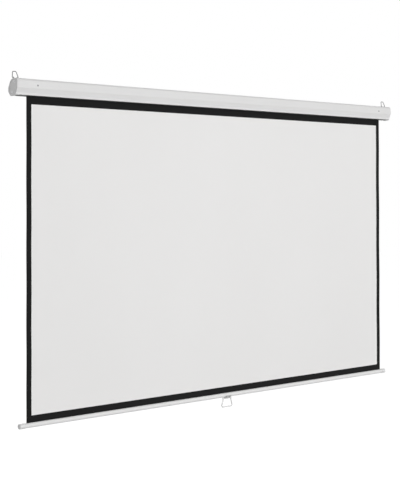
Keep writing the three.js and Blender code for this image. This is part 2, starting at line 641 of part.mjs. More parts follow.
function idlePin() {
  const far = PLATE_OUT + IDLE_PIN_STICK_OUT;
  const shoulderOut = BUSH_FACE - BUSH_FLANGE - GAP;
  const shoulderIn = FLANGE_OUT + GAP;
  return turnedAboutX([
    [-far, 0], [-far, IDLE_PIN_RADIUS], [-shoulderOut, IDLE_PIN_RADIUS], [-shoulderOut, SHOULDER_RADIUS],
    [-shoulderIn, SHOULDER_RADIUS], [-shoulderIn, IDLE_PIN_RADIUS],
    [-PLUG_END, IDLE_PIN_RADIUS], [-PLUG_END, 0],
  ]);
}

function idleBush() {
  const far = PLATE_OUT + BUSH_STICK_OUT;
  const bore = IDLE_PIN_RADIUS + GAP;
  const flange = BUSH_RADIUS + BUSH_WALL;
  return turnedAboutX([
    [-far, bore], [-far, BUSH_RADIUS], [-BUSH_FACE, BUSH_RADIUS], [-BUSH_FACE, flange],
    [-BUSH_FACE + BUSH_FLANGE, flange], [-BUSH_FACE + BUSH_FLANGE, bore], [-far, bore],
  ]);
}

// Pawls: the two levers stand opposite each other on the ratchet plug
const PAWLS = [{ name: 'upper_pawl', turn: 0 }, { name: 'lower_pawl', turn: Math.PI }];

// A pawl's outline at one angle of its pin, as a hub and a nose joined by straight sides
function pawlOutline(angle, spare) {
  const hub = PAWL_HUB_RADIUS + spare;
  const nose = PAWL_NOSE_RADIUS + spare;
  const lean = Math.asin((hub - nose) / PAWL_LENGTH);
  const heading = angle - Math.PI / 2;
  const tip = [PAWL_LENGTH * Math.cos(heading), PAWL_PIN_CIRCLE + PAWL_LENGTH * Math.sin(heading)];
  const right = heading - Math.PI / 2 + lean;
  const left = heading + Math.PI / 2 - lean;
  return [
    ...arcPoints(tip, nose, right, left),
    ...arcPoints([0, PAWL_PIN_CIRCLE], hub, left, right + TAU),
  ];
}

function pawl(turn) {
  const lever = alongX(pawlOutline(PAWL_OPEN_ANGLE, 0), PAWL_IN, PAWL_OUT);
  const hole = rodProfile(PAWL_IN - OVERRUN, PAWL_OUT + OVERRUN, PAWL_PIN_RADIUS + GAP);
  const bore = turnedAboutX(hole, SMALL_SIDES).translate(0, 0, PAWL_PIN_CIRCLE);
  return cut(lever, bore).rotateX(turn);
}

function pawlPin(turn) {
  const start = FLANGE_IN + GAP;
  const head = PAWL_OUT + GAP;
  return turnedAboutX([
    [start, 0], [start, PAWL_PIN_RADIUS], [head, PAWL_PIN_RADIUS], [head, PAWL_PIN_HEAD],
    [head + PAWL_PIN_HEAD_LENGTH, PAWL_PIN_HEAD], [head + PAWL_PIN_HEAD_LENGTH, 0],
  ], SMALL_SIDES).translate(0, 0, PAWL_PIN_CIRCLE).rotateX(turn);
}

function ratchetPlug() {
  const bore = SPINDLE_RADIUS + HOLE_ROOM;
  const body = turnedAboutX([
    [PLUG_END, bore], [PLUG_END, TUBE_BORE - GAP], [FLANGE_IN, TUBE_BORE - GAP],
    [FLANGE_IN, RATCHET_FLANGE_RADIUS], [FLANGE_OUT, RATCHET_FLANGE_RADIUS],
    [FLANGE_OUT, bore], [PLUG_END, bore],
  ]);
  const pinHoles = PAWLS.map(({ turn }) =>
    turnedAboutX(rodProfile(FLANGE_IN - OVERRUN, FLANGE_OUT + OVERRUN, PAWL_PIN_RADIUS + GAP), SMALL_SIDES)
      .translate(0, 0, PAWL_PIN_CIRCLE).rotateX(turn));
  return cut(body, ...pinHoles);
}

// Fixed spindle: socket for the spring rod, ratchet collar with two notches, shoulder and flat tang
function ratchetSpindle() {
  const shoulderOut = PLATE_IN - GAP;
  const tangEnd = PLATE_OUT + TANG_STICK_OUT;
  const body = turnedAboutX([
    [PLUG_END, 0], [PLUG_END, SOCKET_RADIUS], [SPINDLE_END, SOCKET_RADIUS], [SPINDLE_END, SPINDLE_RADIUS],
    [PAWL_IN, SPINDLE_RADIUS], [PAWL_IN, RATCHET_RADIUS], [PAWL_OUT, RATCHET_RADIUS],
    [PAWL_OUT, SHOULDER_RADIUS], [shoulderOut, SHOULDER_RADIUS], [shoulderOut, 0],
  ]);
  const tang = block([shoulderOut - OVERRUN, -TANG_WIDTH / 2, -TANG_HEIGHT / 2],
    [tangEnd, TANG_WIDTH / 2, TANG_HEIGHT / 2]);
  const swing = Array.from({ length: NOTCH_STEPS + 1 }, (_, step) =>
    PAWL_ENGAGED_ANGLE + ((PAWL_OPEN_ANGLE - PAWL_ENGAGED_ANGLE) * step) / NOTCH_STEPS);
  const notches = PAWLS.flatMap(({ turn }) => swing.map((angle) =>
    alongX(pawlOutline(angle, HOLE_ROOM), PAWL_IN - GAP, PAWL_OUT + GAP).rotateX(turn)));
  return cut(join(body, tang), ...notches);
}

function springRod() {
  const peg = SOCKET_RADIUS - GAP;
  const far = springStart() - SPRING_WIRE_RADIUS - GAP - ANCHOR_WIDTH - SPRING_ROD_TAIL;
  return turnedAboutX([
    [far, 0], [far, SPRING_ROD_RADIUS], [SPINDLE_END - GAP, SPRING_ROD_RADIUS], [SPINDLE_END - GAP, peg],
    [PLUG_END - GAP, peg], [PLUG_END - GAP, 0],
  ], SMALL_SIDES);
}

// The spring ends against the plug's inner face; its length follows from its turns and pitch
const springStart = () => PLUG_END - GAP - SPRING_WIRE_RADIUS - SPRING_TURNS * SPRING_PITCH;

class Coil extends THREE.Curve {
  getPoint(share, target = new THREE.Vector3()) {
    const angle = share * SPRING_TURNS * TAU;
    const x = springStart() + share * SPRING_TURNS * SPRING_PITCH;
    return target.set(x, SPRING_COIL_RADIUS * Math.cos(angle), SPRING_COIL_RADIUS * Math.sin(angle));
  }
}

function returnSpring() {
  const section = new THREE.Shape().absarc(0, 0, SPRING_WIRE_RADIUS, 0, TAU);
  const steps = SPRING_TURNS * SPRING_STEPS_A_TURN;
  const settings = { steps, curveSegments: SPRING_SIDES / 2, extrudePath: new Coil() };
  return new THREE.ExtrudeGeometry(section, settings);
}

function springAnchor() {
  const face = springStart() - SPRING_WIRE_RADIUS - GAP;
  return turnedAboutX(tubeProfile(face - ANCHOR_WIDTH, face, TUBE_BORE - HOLE_ROOM, SPRING_ROD_RADIUS + GAP));
}

// Fabric: from the front of the roll it slants back to the trim's nose, and hangs from there
function fabricLeader() {
  const nose = [FRONT_BEND_Y, TRIM_Z];
  const rise = ROLLER_RISE - nose[1];
  const run = ROLLER_Y - nose[0];
  const nearNose = TRIM_HALF + GAP;
  const nearRoll = ROLL_RADIUS + GAP + BACKING_THICKNESS;
  const lean = Math.atan2(rise, run) - Math.acos((nearNose + nearRoll) / Math.hypot(run, rise));
  const side = [Math.cos(lean), Math.sin(lean)];
  const rollFront = [ROLLER_Y - nearRoll * side[0], ROLLER_RISE - nearRoll * side[1]];
  const rollBack = [rollFront[0] + BACKING_THICKNESS * side[0], rollFront[1] + BACKING_THICKNESS * side[1]];
  const backArc = arcPoints(nose, nearNose + BACKING_THICKNESS, 0, lean);
  const frontArc = arcPoints(nose, nearNose, lean, 0);
  return alongX([...backArc, rollBack, rollFront, ...frontArc], -FABRIC_WIDTH / 2, FABRIC_WIDTH / 2);
}

function screenBacking() {
  const half = FABRIC_WIDTH / 2;
  const foot = BAR_Z + HEM_Z + HEM_RADIUS + GAP;
  return block([-half, FABRIC_Y, foot], [half, FABRIC_Y + BACKING_THICKNESS, TRIM_Z - GAP]);
}

function viewingSurface() {
  const half = VIEW_WIDTH / 2;
  const back = FABRIC_Y - SEAT;
  return block([-half, back - COATING_THICKNESS, VIEW_BOTTOM], [half, back, VIEW_TOP]);
}

// Bottom bar: a tube with a slot along its top, and holes for the bracket's rivets
function bottomBar() {
  const open = (radius) => Math.asin(BAR_SLOT / 2 / radius);
  const inner = BAR_RADIUS - BAR_WALL;
  const up = Math.PI / 2;
  const section = [
    ...arcPoints([0, 0], BAR_RADIUS, up + open(BAR_RADIUS), up + TAU - open(BAR_RADIUS)),
    ...arcPoints([0, 0], inner, up + TAU - open(inner), up + open(inner)),
  ];
  const tubeEnd = BAR_HALF - BAR_CAP_END - GAP;
  const holes = [-BAR_RIVET_X, BAR_RIVET_X].map((x) => barRivetHole(x));
  return cut(alongX(section, -tubeEnd, tubeEnd), ...holes);
}

// Radial places on the bar's lower front, for the bracket's two rivets
const leanToFront = (geometry) => geometry.rotateX(Math.PI - BAR_RIVET_LEAN);

function barRivetHole(x) {
  const hole = turnedAboutZ(rodProfile(BAR_RADIUS / 2, BAR_RADIUS + 2 * BRACKET_WALL + OVERRUN,
    BAR_RIVET_RADIUS + GAP));
  return leanToFront(hole).translate(x, 0, 0);
}

function barRivet(x) {
  const seat = BAR_RADIUS + GAP + BRACKET_WALL + GAP;
  const tail = BAR_RADIUS - BAR_WALL - 2 * GAP;
  const foot = tail - BAR_RIVET_HEAD_HEIGHT;
  const crown = seat + BAR_RIVET_HEAD_HEIGHT;
  const shape = turnedAboutZ([
    [foot, 0], [foot, BAR_RIVET_HEAD], [tail, BAR_RIVET_HEAD], [tail, BAR_RIVET_RADIUS],
    [seat, BAR_RIVET_RADIUS], [seat, BAR_RIVET_HEAD], [crown, BAR_RIVET_HEAD / 2], [crown, 0],
  ]);
  return leanToFront(shape).translate(x, 0, 0);
}

// Bar end cap: a cup over the tube's end with a softened rim
function barCap() {
  const bore = BAR_RADIUS + GAP;
  const outer = bore + BAR_CAP_WALL;
  const floor = BAR_HALF - BAR_CAP_END;
  const mouth = BAR_HALF - BAR_CAP_LENGTH;
  return turnedAboutX([
    [floor, 0], [floor, bore], [mouth, bore], [mouth, outer], [BAR_HALF - BAR_CAP_END / 2, outer],
    [BAR_HALF, outer - BAR_CAP_END / 2], [BAR_HALF, 0],
  ]);
}

// Handle bracket: a saddle round the bar's underside and a knuckle that takes the pin
function handleBracket() {
  const down = -Math.PI / 2;
  const near = BAR_RADIUS + GAP;
  const saddle = [
    ...arcPoints([0, 0], near + BRACKET_WALL, down - BRACKET_SPAN, down + BRACKET_SPAN),
    ...arcPoints([0, 0], near, down + BRACKET_SPAN, down - BRACKET_SPAN),
  ];
  const half = BRACKET_WIDTH / 2;
  const knuckle = turnedAboutX(rodProfile(-half, half, KNUCKLE_RADIUS)).translate(0, 0, PIN_Z);
  const bore = turnedAboutX(rodProfile(-half - OVERRUN, half + OVERRUN, PIN_RADIUS + GAP), SMALL_SIDES)
    .translate(0, 0, PIN_Z);
  const holes = [-BAR_RIVET_X, BAR_RIVET_X].map((x) => barRivetHole(x));
  return cut(join(alongX(saddle, -half, half), knuckle), bore, ...holes);
}

const EYE_IN = BRACKET_WIDTH / 2 + GAP;
const EYE_OUT = HANDLE_TOP_WIDTH / 2 + HANDLE_ROD_RADIUS + EYE_SHOULDER;

function handlePin() {
  const seat = EYE_OUT + GAP;
  const end = seat + PIN_HEAD_LENGTH;
  return turnedAboutX([
    [-end, 0], [-end, PIN_HEAD_RADIUS], [-seat, PIN_HEAD_RADIUS], [-seat, PIN_RADIUS],
    [seat, PIN_RADIUS], [seat, PIN_HEAD_RADIUS], [end, PIN_HEAD_RADIUS], [end, 0],
  ], SMALL_SIDES);
}

// Handle: a bent rod that spreads downwards, with an eye at each end, drawn about its pin
function handle() {
  const top = HANDLE_TOP_WIDTH / 2;
  const foot = HANDLE_BOTTOM_WIDTH / 2;
  const rod = bentWire([
    { y: -top, z: 0 },
    { y: -foot, z: -HANDLE_DROP, r: HANDLE_BEND },
    { y: foot, z: -HANDLE_DROP, r: HANDLE_BEND },
    { y: top, z: 0 },
  ], HANDLE_ROD_RADIUS);
  const eyes = [-EYE_OUT, EYE_IN].map((x) => turnedAboutX(rodProfile(x, x + EYE_OUT - EYE_IN, EYE_RADIUS)));
  const bore = turnedAboutX(rodProfile(-EYE_OUT - OVERRUN, EYE_OUT + OVERRUN, PIN_RADIUS + GAP), SMALL_SIDES);
  const clear = block([-EYE_IN, -EYE_RADIUS, -EYE_RADIUS], [EYE_IN, EYE_RADIUS, EYE_RADIUS]);
  return cut(join(rod, ...eyes), bore, clear);
}

// The assembly
const screen = new THREE.Group();
screen.position.set(0, -HANGING_Y, -HANGING_Z);

function add(parent, name, geometry, material, place = [0, 0, 0]) {
  const mesh = new THREE.Mesh(geometry, material);
  mesh.name = name;
  mesh.position.set(...place);
  parent.add(mesh);
  return mesh;
}

function group(...place) {
  const inner = new THREE.Group();
  inner.position.set(...place);
  screen.add(inner);
  return inner;
}

const SIDES = [{ word: 'left', side: -1 }, { word: 'right', side: 1 }];

const caseGroup = group(0, 0, 0);
add(caseGroup, 'case_shell', caseShell(), finish.casePaint);
add(caseGroup, 'front_slot_trim', frontTrim(), finish.blackPlastic);
add(caseGroup, 'rear_slot_trim', rearTrim(), finish.blackPlastic);
for (const { word, side } of SIDES) {
  add(caseGroup, `${word}_end_cap`, endCap(side), finish.capPlastic, [side * SHELL_HALF, 0, 0]);
  add(caseGroup, `${word}_end_bracket`, endBracket(side), finish.zincSteel, [side * SHELL_HALF, 0, 0]);
  add(caseGroup, `${word}_case_rivet`, frontRivet(), finish.darkSteel,
    [side * FRONT_RIVET_X, -CASE_DEPTH, FRONT_RIVET_Z]);
  for (const screw of CAP_SCREWS) {
    const shape = side < 0 ? capScrew().applyMatrix4(TURN_ROUND) : capScrew();
    add(caseGroup, `${word}_cap_screw_${screw.name}`, shape, finish.zincSteel,
      [side * SHELL_HALF, screw.y, screw.z]);
  }
  const hookGroup = group(side * HOOK_X, SHOULDER_Y, SHOULDER_Z);
  add(hookGroup, `${word}_hook_saddle`, hookSaddle(side), finish.zincSteel);
  add(hookGroup, `${word}_hook_rivet`, ontoShoulder(hookRivet(side)), finish.zincSteel);
  add(hookGroup, `${word}_hook`, hook().rotateX(-HOOK_LEAN), finish.zincSteel, [0, PIVOT_Y, PIVOT_Z]);
}

const rollerGroup = group(0, ROLLER_Y, ROLLER_RISE);
add(rollerGroup, 'roller_tube', turnedAboutX(tubeProfile(-TUBE_HALF, TUBE_HALF, ROLLER_RADIUS, TUBE_BORE)),
  finish.zincSteel);
add(rollerGroup, 'fabric_roll', turnedAboutX(tubeProfile(-FABRIC_WIDTH / 2, FABRIC_WIDTH / 2, ROLL_RADIUS,
  ROLLER_RADIUS + GAP)), finish.blackBacking);
add(rollerGroup, 'idle_plug', idlePlug(), finish.greyPlastic);
add(rollerGroup, 'idle_pin', idlePin(), finish.darkSteel);
add(rollerGroup, 'idle_bush', idleBush(), finish.blackPlastic);
add(rollerGroup, 'ratchet_plug', ratchetPlug(), finish.greyPlastic);
add(rollerGroup, 'ratchet_spindle', ratchetSpindle(), finish.darkSteel);
add(rollerGroup, 'spring_rod', springRod(), finish.darkSteel);
add(rollerGroup, 'spring_anchor', springAnchor(), finish.greyPlastic);
add(rollerGroup, 'return_spring', returnSpring(), finish.springSteel);
for (const { name, turn } of PAWLS) {
  add(rollerGroup, name, pawl(turn), finish.darkSteel);
  add(rollerGroup, `${name}_pin`, pawlPin(turn), finish.zincSteel);
}

add(screen, 'fabric_leader', fabricLeader(), finish.blackBacking);
add(screen, 'screen_backing', screenBacking(), finish.blackBacking);
add(screen, 'viewing_surface', viewingSurface(), finish.whiteCoating);

const barGroup = group(0, FABRIC_Y + BACKING_THICKNESS / 2, BAR_Z);
add(barGroup, 'bottom_bar', bottomBar(), finish.barPaint);
add(barGroup, 'screen_hem', turnedAboutX(tubeProfile(-FABRIC_WIDTH / 2, FABRIC_WIDTH / 2, HEM_RADIUS,
  HEM_RADIUS - HEM_THICKNESS)), finish.blackBacking, [0, 0, HEM_Z]);
add(barGroup, 'hem_rod', turnedAboutX(rodProfile(-FABRIC_WIDTH / 2, FABRIC_WIDTH / 2, HEM_ROD_RADIUS),
  SMALL_SIDES), finish.greyPlastic, [0, 0, HEM_Z]);
add(barGroup, 'left_bar_cap', barCap().applyMatrix4(TURN_ROUND), finish.capPlastic);
add(barGroup, 'right_bar_cap', barCap(), finish.capPlastic);
add(barGroup, 'handle_bracket', handleBracket(), finish.greyPlastic);
add(barGroup, 'left_bracket_rivet', barRivet(-BAR_RIVET_X), finish.zincSteel);
add(barGroup, 'right_bracket_rivet', barRivet(BAR_RIVET_X), finish.zincSteel);
add(barGroup, 'handle_pin', handlePin(), finish.handlePlastic, [0, 0, PIN_Z]);
add(barGroup, 'handle', handle(), finish.handlePlastic, [0, 0, PIN_Z]);

export default screen;
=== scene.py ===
import json
import math

import bmesh
import bpy
import numpy as np
from mathutils import Matrix, Vector


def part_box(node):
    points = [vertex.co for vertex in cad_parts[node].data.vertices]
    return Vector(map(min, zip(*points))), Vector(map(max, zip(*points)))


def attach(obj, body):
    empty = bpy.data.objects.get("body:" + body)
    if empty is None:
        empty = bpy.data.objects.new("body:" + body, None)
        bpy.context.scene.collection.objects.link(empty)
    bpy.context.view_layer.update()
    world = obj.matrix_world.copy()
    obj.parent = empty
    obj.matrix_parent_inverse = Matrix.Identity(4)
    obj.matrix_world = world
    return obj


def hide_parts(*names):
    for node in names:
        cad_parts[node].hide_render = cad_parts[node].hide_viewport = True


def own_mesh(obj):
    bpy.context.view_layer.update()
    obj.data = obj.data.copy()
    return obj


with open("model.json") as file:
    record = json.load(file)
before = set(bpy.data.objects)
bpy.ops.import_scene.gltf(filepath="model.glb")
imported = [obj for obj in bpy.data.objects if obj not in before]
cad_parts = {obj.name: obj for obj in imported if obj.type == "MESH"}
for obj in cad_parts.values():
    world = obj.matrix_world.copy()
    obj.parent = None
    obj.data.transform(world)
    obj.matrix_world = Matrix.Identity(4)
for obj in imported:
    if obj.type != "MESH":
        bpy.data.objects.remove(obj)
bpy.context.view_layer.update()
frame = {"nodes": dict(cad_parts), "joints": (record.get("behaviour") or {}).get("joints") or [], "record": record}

# Camera, as a pinhole fitted to the corners of the picture, the case and the bar
FRAME_LONG_SIDE = 500
FRAME_CENTRE_Y = 250
HORIZON_Y = 180.7
FOCAL_PIXELS = 1261.5
SENSOR = 36.0
CAMERA_X = -4.125
CAMERA_TO_WALL = 4.145
CAMERA_BELOW_TOP = 0.4808
CAMERA_YAW = math.radians(-43.89)
CAMERA_PITCH = math.radians(0.83)
CAMERA_ROLL = math.radians(-0.13)

# Case section, as the folded sheet's corners and bends
CASE_WALL = 0.001
FRONT_TOP_RADIUS = 0.012
FRONT_SLOPE_HEIGHT = 0.019
FRONT_LIP_HEIGHT = 0.009
FRONT_LIP_SETBACK = 0.008
FLANGE_RISE = 0.0025
FOLD_RADIUS = 0.003
BACK_FOOT_RUN = 0.014
BACK_FOOT_RISE = 0.015
BACK_FLAT_HEIGHT = 0.018
BACK_SHOULDER_RUN = 0.0184
BACK_SHOULDER_RADIUS = 0.024

# Clearance, sheets and their edges
GAP = 0.0003
METAL_EDGE = 0.00015
CLOTH_THICKNESS = 0.0003
COAT_THICKNESS = 0.00015

# Slot trims
TRIM_WALL = 0.0008
TRIM_DEPTH = 0.0052
TRIM_BACKING = 0.0007
TRIM_TO_LIP = 0.003
TRIM_NOSE_SHARE = 0.98
TRIM_LOWER_FILLET = 0.0004
TRIM_UPPER_FILLET = 0.0003
TRIM_MOUTH_FILLET = 0.0001
TRIM_GROOVE_FILLET = 0.0002
TRIM_EDGE = 0.0002

# End caps
CAP_FILLET = 0.0013
CAP_BACK_FILLET = 0.0003
CAP_BACK_LAND = 0.001
CAP_RIM = 0.0045
CAP_RECESS = 0.0012
CAP_STEP_FILLET = 0.0005
CAP_STEP_SLANT = 0.0004
CAP_FACE_LAND = 0.003
CAP_SKIRT = 0.002
CAP_LIP_SKIRT = 0.001
SPIGOT_DEPTH = 0.010
SPIGOT_WALL = 0.002
SPIGOT_INNER_FILLET = 0.0003
SPIGOT_OUTER_FILLET = 0.0006

# Cap screws
SCREW_HEAD_RADIUS = 0.0036
SCREW_HEAD_HEIGHT = 0.0012
SCREW_RIM_SHARE = 0.45
SCREW_SHANK_RADIUS = 0.0018
SCREW_LENGTH = 0.017
SCREW_TIP_SHARE = 0.3
SCREW_SEAT = 0.00005
CROSS_HALF_WIDTH = 0.00042
CROSS_REACH = 0.0019
CROSS_DEPTH = 0.0009
CROSS_EDGE = 0.00012

# Blind rivets: radii and lengths, then the head's outline in shares of its height and radius
CASE_RIVET = {"head": 0.0038, "height": 0.0014, "shank": 0.0016, "length": 0.004}
SADDLE_RIVET = {"head": 0.0024, "height": 0.0013, "shank": 0.0016, "length": 0.0035}
CLIP_RIVET = {"head": 0.0025, "height": 0.0012, "shank": 0.0014, "length": 0.0035}
DIMPLE_RISE = 0.35
DIMPLE_FLOOR = 0.22
DIMPLE_MOUTH = 0.34
DOME_RISE = 0.75
DOME_REACH = 0.8
DOME_FILLET = 0.0008
RIVET_EDGE_FILLET = 0.0002
RIVET_FINE_FILLET = 0.0001

# Hooks and their saddles
HOOK_WIRE_RADIUS = 0.00175
HOOK_BASE_HALF = 0.015
HOOK_TOP_HALF = 0.00825
HOOK_FOOT_INNER = 0.0065
HOOK_RISE = 0.027
HOOK_TOP_BEND = 0.0055
HOOK_FOOT_BEND = 0.003
HOOK_LEAN = math.radians(15)
SADDLE_TURN = math.radians(17)
SADDLE_RIVET_IN = 0.0032
SADDLE_PLATE = 0.0012
SADDLE_DEPTH = 0.014
SADDLE_EDGE = 0.00025
EAR_RADIUS = 0.004
EAR_THICKNESS = 0.002
EAR_OUTER = 0.010
EAR_FOOT_SPREAD = 0.001
PIVOT_RISE = 0.003

# Handle and its pin
HANDLE_ROD_RADIUS = 0.003
HANDLE_TOP_HALF = 0.023
HANDLE_FOOT_HALF = 0.035
HANDLE_DROP = 0.0395
HANDLE_BEND = 0.007
EYE_RADIUS = 0.0034
EYE_BORE = 0.0018
EYE_FILLET = 0.0012
ROD_START_IN_BORES = 1.3
PIN_RADIUS = 0.0015
PIN_HEAD_RADIUS = 0.0028
PIN_HEAD_LENGTH = 0.0012
PIN_HEAD_FILLET = 0.0008
PIN_NECK_FILLET = 0.0002

# Bottom bar, its caps and the clip
BAR_WALL = 0.0012
BAR_SLOT = 0.0025
BAR_CAP_LENGTH = 0.027
BAR_CAP_WALL = 0.0007
BAR_CAP_FILLET = 0.0025
BAR_CAP_FLOOR_FILLET = 0.0002
BAR_CAP_BORE_FILLET = 0.0001
BAR_CAP_MOUTH_FILLET = 0.0003
HEM_OPENING = 0.04
CLIP_WALL = 0.0013
CLIP_SPAN = 1.5
CLIP_FILLET = 0.0025
CLIP_EDGE = 0.0004
CLIP_RIVET_LEAN = 0.87
KNUCKLE_RADIUS = 0.0034

# Cloth: its grid, its ripples, its thread and the wraps on the tube
CLOTH_COLUMNS = 160
CLOTH_ROWS = 110
RIPPLE_DEPTH = 0.0006
RIPPLE_FADE = 0.12
EDGE_REACH = 0.22
LEFT_HALF_WAVES = 9.1
LEFT_PHASE = 0.6
RIGHT_HALF_WAVES = 7.7
RIGHT_PHASE = 2.1
ACROSS_SHARE = 0.35
ACROSS_PITCH = 0.83
ACROSS_PHASE = 0.4
THREAD = 0.0011
LEADER_PLACES = 9
ROLL_WRAPS = 1.75
ROLL_STEPS = 120
ROLL_CLEARANCE = 0.0001
ROLL_CLOTH_SHARE = 0.9

# Smoothness
CORNER_STEPS = 10
BAR_STEPS = 72
HEM_STEPS = 48
WIRE_SIDES = 24
WIRE_END_ROUND = 0.3
RIVET_SIDES = 32
PIN_SIDES = 40
BAR_CAP_SIDES = 64
SCREW_SPOKES = 96
SCREW_RINGS = 26
SCREW_FIRST_SHARE = 0.02
SHARP_ANGLE = math.radians(35)
WELD = 1e-6

# Sockets of a Mix node's two colours and of its result
MIX_FIRST = 6
MIX_SECOND = 7
MIX_RESULT = 2

# Places read from the frame
case_low, case_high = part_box("case_shell")
front_trim_low, front_trim_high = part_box("front_slot_trim")
rear_trim_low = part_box("rear_slot_trim")[0]
cloth_low, cloth_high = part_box("screen_backing")
picture_low, picture_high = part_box("viewing_surface")
bar_low, bar_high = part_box("bottom_bar")
bar_cap_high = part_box("right_bar_cap")[1]
tube_low, tube_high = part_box("roller_tube")
roll_low, roll_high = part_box("fabric_roll")
pin_low, pin_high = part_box("handle_pin")
clip_low, clip_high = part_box("handle_bracket")
hem_low, hem_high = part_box("screen_hem")
right_cap_low, right_cap_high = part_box("right_end_cap")

WALL_Y = case_high.y
CASE_FRONT_Y = case_low.y
CASE_TOP = case_high.z
CASE_BOTTOM = case_low.z
CAP_SEAM = right_cap_low.x + SPIGOT_DEPTH
CAP_FACE = right_cap_high.x
ROLLER_Y = (tube_low.y + tube_high.y) / 2
ROLLER_Z = (tube_low.z + tube_high.z) / 2
ROLL_RADIUS = (roll_high.z - roll_low.z) / 2
TUBE_RADIUS = (tube_high.z - tube_low.z) / 2
BAR_RADIUS = (bar_high.y - bar_low.y) / 2
BAR_Y = (bar_low.y + bar_high.y) / 2
BAR_Z = bar_low.z + BAR_RADIUS
HEM_RADIUS = (hem_high.z - hem_low.z) / 2
HEM_Z = (hem_low.z + hem_high.z) / 2
PIN_Y = (pin_low.y + pin_high.y) / 2
PIN_Z = (pin_low.z + pin_high.z) / 2
CLOTH_FRONT_Y = cloth_low.y
CLOTH_HALF = cloth_high.x
DROP = cloth_high.z - cloth_low.z
LIP_Y = CASE_FRONT_Y + FRONT_LIP_SETBACK
TRIM_Z = CASE_BOTTOM + CASE_WALL / 2
TRIM_HALF = CASE_WALL / 2 + GAP + TRIM_WALL
FRONT_BEND_Y = front_trim_high.y - TRIM_HALF
REAR_BEND_Y = rear_trim_low.y + TRIM_HALF
FLANGE_SLANT = math.atan2(FLANGE_RISE, FRONT_BEND_Y - LIP_Y)


# Outlines and surfaces

def towards(angle):
    """The unit vector (cos a, sin a)."""
    return np.array([math.cos(angle), math.sin(angle)])


def round_angles(sides):
    """Equal steps round a circle."""
    return np.arange(sides) * 2 * math.pi / sides


def arc(centre, radius, start, end, steps):
    """Points centre + radius * (cos a, sin a), with a in equal steps from start to end."""
    angles = np.linspace(start, end, steps + 1)
    return np.asarray(centre) + radius * np.stack([np.cos(angles), np.sin(angles)], axis=1)


def bend(before, corner, after):
    """The heading into a corner, and the turn from it to the heading out, from -pi to pi."""
    heading_in = math.atan2(corner[1] - before[1], corner[0] - before[0])
    heading_out = math.atan2(after[1] - corner[1], after[0] - corner[0])
    return heading_in, (heading_out - heading_in + math.pi) % (2 * math.pi) - math.pi


def corner_arc(before, corner, after, steps):
    """The arc tangent to both sides of a corner (a, b, radius): it starts radius * tan(turn / 2) before
    the corner, and turns by the angle between the sides."""
    heading, turn = bend(before, corner, after)
    side = math.copysign(math.pi / 2, turn)
    radius = corner[2]
    start = np.array(corner[:2]) - radius * math.tan(abs(turn) / 2) * towards(heading)
    centre = start + radius * towards(heading + side)
    return arc(centre, radius, heading - side, heading - side + turn, steps)


def outline(corners, steps=CORNER_STEPS):
    """A closed outline through corners (a, b, radius), each corner an arc of its radius."""
    count = len(corners)
    return np.concatenate([
        corner_arc(corners[i - 1], corners[i], corners[(i + 1) % count], steps) for i in range(count)
    ])


def route(corners, steps=CORNER_STEPS):
    """An open line through corners (a, b, radius): its two ends stay points, and the others are arcs."""
    inner = [corner_arc(*corners[i - 1:i + 2], steps) for i in range(1, len(corners) - 1)]
    return np.concatenate([[corners[0][:2]], *inner, [corners[-1][:2]]])


def inset(corners, distance):
    """Every side moved inwards by a distance: a corner goes distance / cos(turn / 2) along its half angle,
    and its radius shrinks or grows by the distance, so that a round corner keeps its centre."""
    moved = []
    for i, (a, b, radius) in enumerate(corners):
        heading, turn = bend(corners[i - 1], corners[i], corners[(i + 1) % len(corners)])
        middle = heading + turn / 2 + math.pi / 2
        reach = distance / math.cos(turn / 2)
        new_radius = max(0.0, radius - math.copysign(distance, turn))
        moved.append((a + reach * math.cos(middle), b + reach * math.sin(middle), new_radius))
    return moved


def length_of(line):
    """The length of a line of points."""
    return float(np.linalg.norm(np.diff(line, axis=0), axis=1).sum())


def along_x(loop, x):
    """A loop of (y, z) points laid at one place x."""
    return np.column_stack([np.full(len(loop), x), loop])


def loft(rings, ends=True):
    """Quads between neighbouring closed rings of equal count: point j of ring i joins point j + 1 and
    ring i + 1. The first and last ring can be filled."""
    rings = np.asarray(rings, float)
    count, size = rings.shape[:2]
    start = np.arange(count - 1)[:, None] * size
    here = start + np.arange(size)
    after = start + (np.arange(size) + 1) % size
    faces = np.stack([here, after, after + size, here + size], axis=-1).reshape(-1, 4).tolist()
    if ends:
        faces += [list(range(size))[::-1], list(range((count - 1) * size, count * size))]
    return rings.reshape(-1, 3), faces


def extruded(loop, low, high):
    """A closed loop of (y, z) points carried along X from low to high, with both ends filled."""
    return loft([along_x(loop, low), along_x(loop, high)])


def sheet_of(rings):
    """A sheet from rings that each hold one line and then the line facing it, backwards. Quads from one
    line to the other close its two ends."""
    points, faces = loft(rings, ends=False)
    count, size = np.shape(rings)[:2]
    first = np.arange(size // 2 - 1)
    ends = np.stack([first, size - 1 - first, size - 2 - first, first + 1], axis=-1)
    return points, faces + ends.tolist() + (ends[:, ::-1] + (count - 1) * size).tolist()


def strip(outer, inner, places):
    """A bent sheet: two open lines of (y, z) points with equal counts, its outer and inner faces, carried
    along X through the places."""
    loop = np.concatenate([outer, inner[::-1]])
    return sheet_of([along_x(loop, x) for x in places])


def turned(profile, centre, axis, sides):
    """A line of (place, radius) points turned about an axis through the centre:
    point = centre + place * axis + radius * (cos a * u + sin a * v), with u and v square to the axis."""
    axis = Vector(axis).normalized()
    u = axis.orthogonal().normalized()
    v = np.array(axis.cross(u))
    angles = round_angles(sides)
    spoke = np.cos(angles)[:, None] * np.array(u) + np.sin(angles)[:, None] * v
    profile = np.asarray(profile, float)
    rings = profile[:, :1, None] * np.array(axis) + profile[:, 1:, None] * spoke
    return loft(np.asarray(centre) + rings, ends=False)


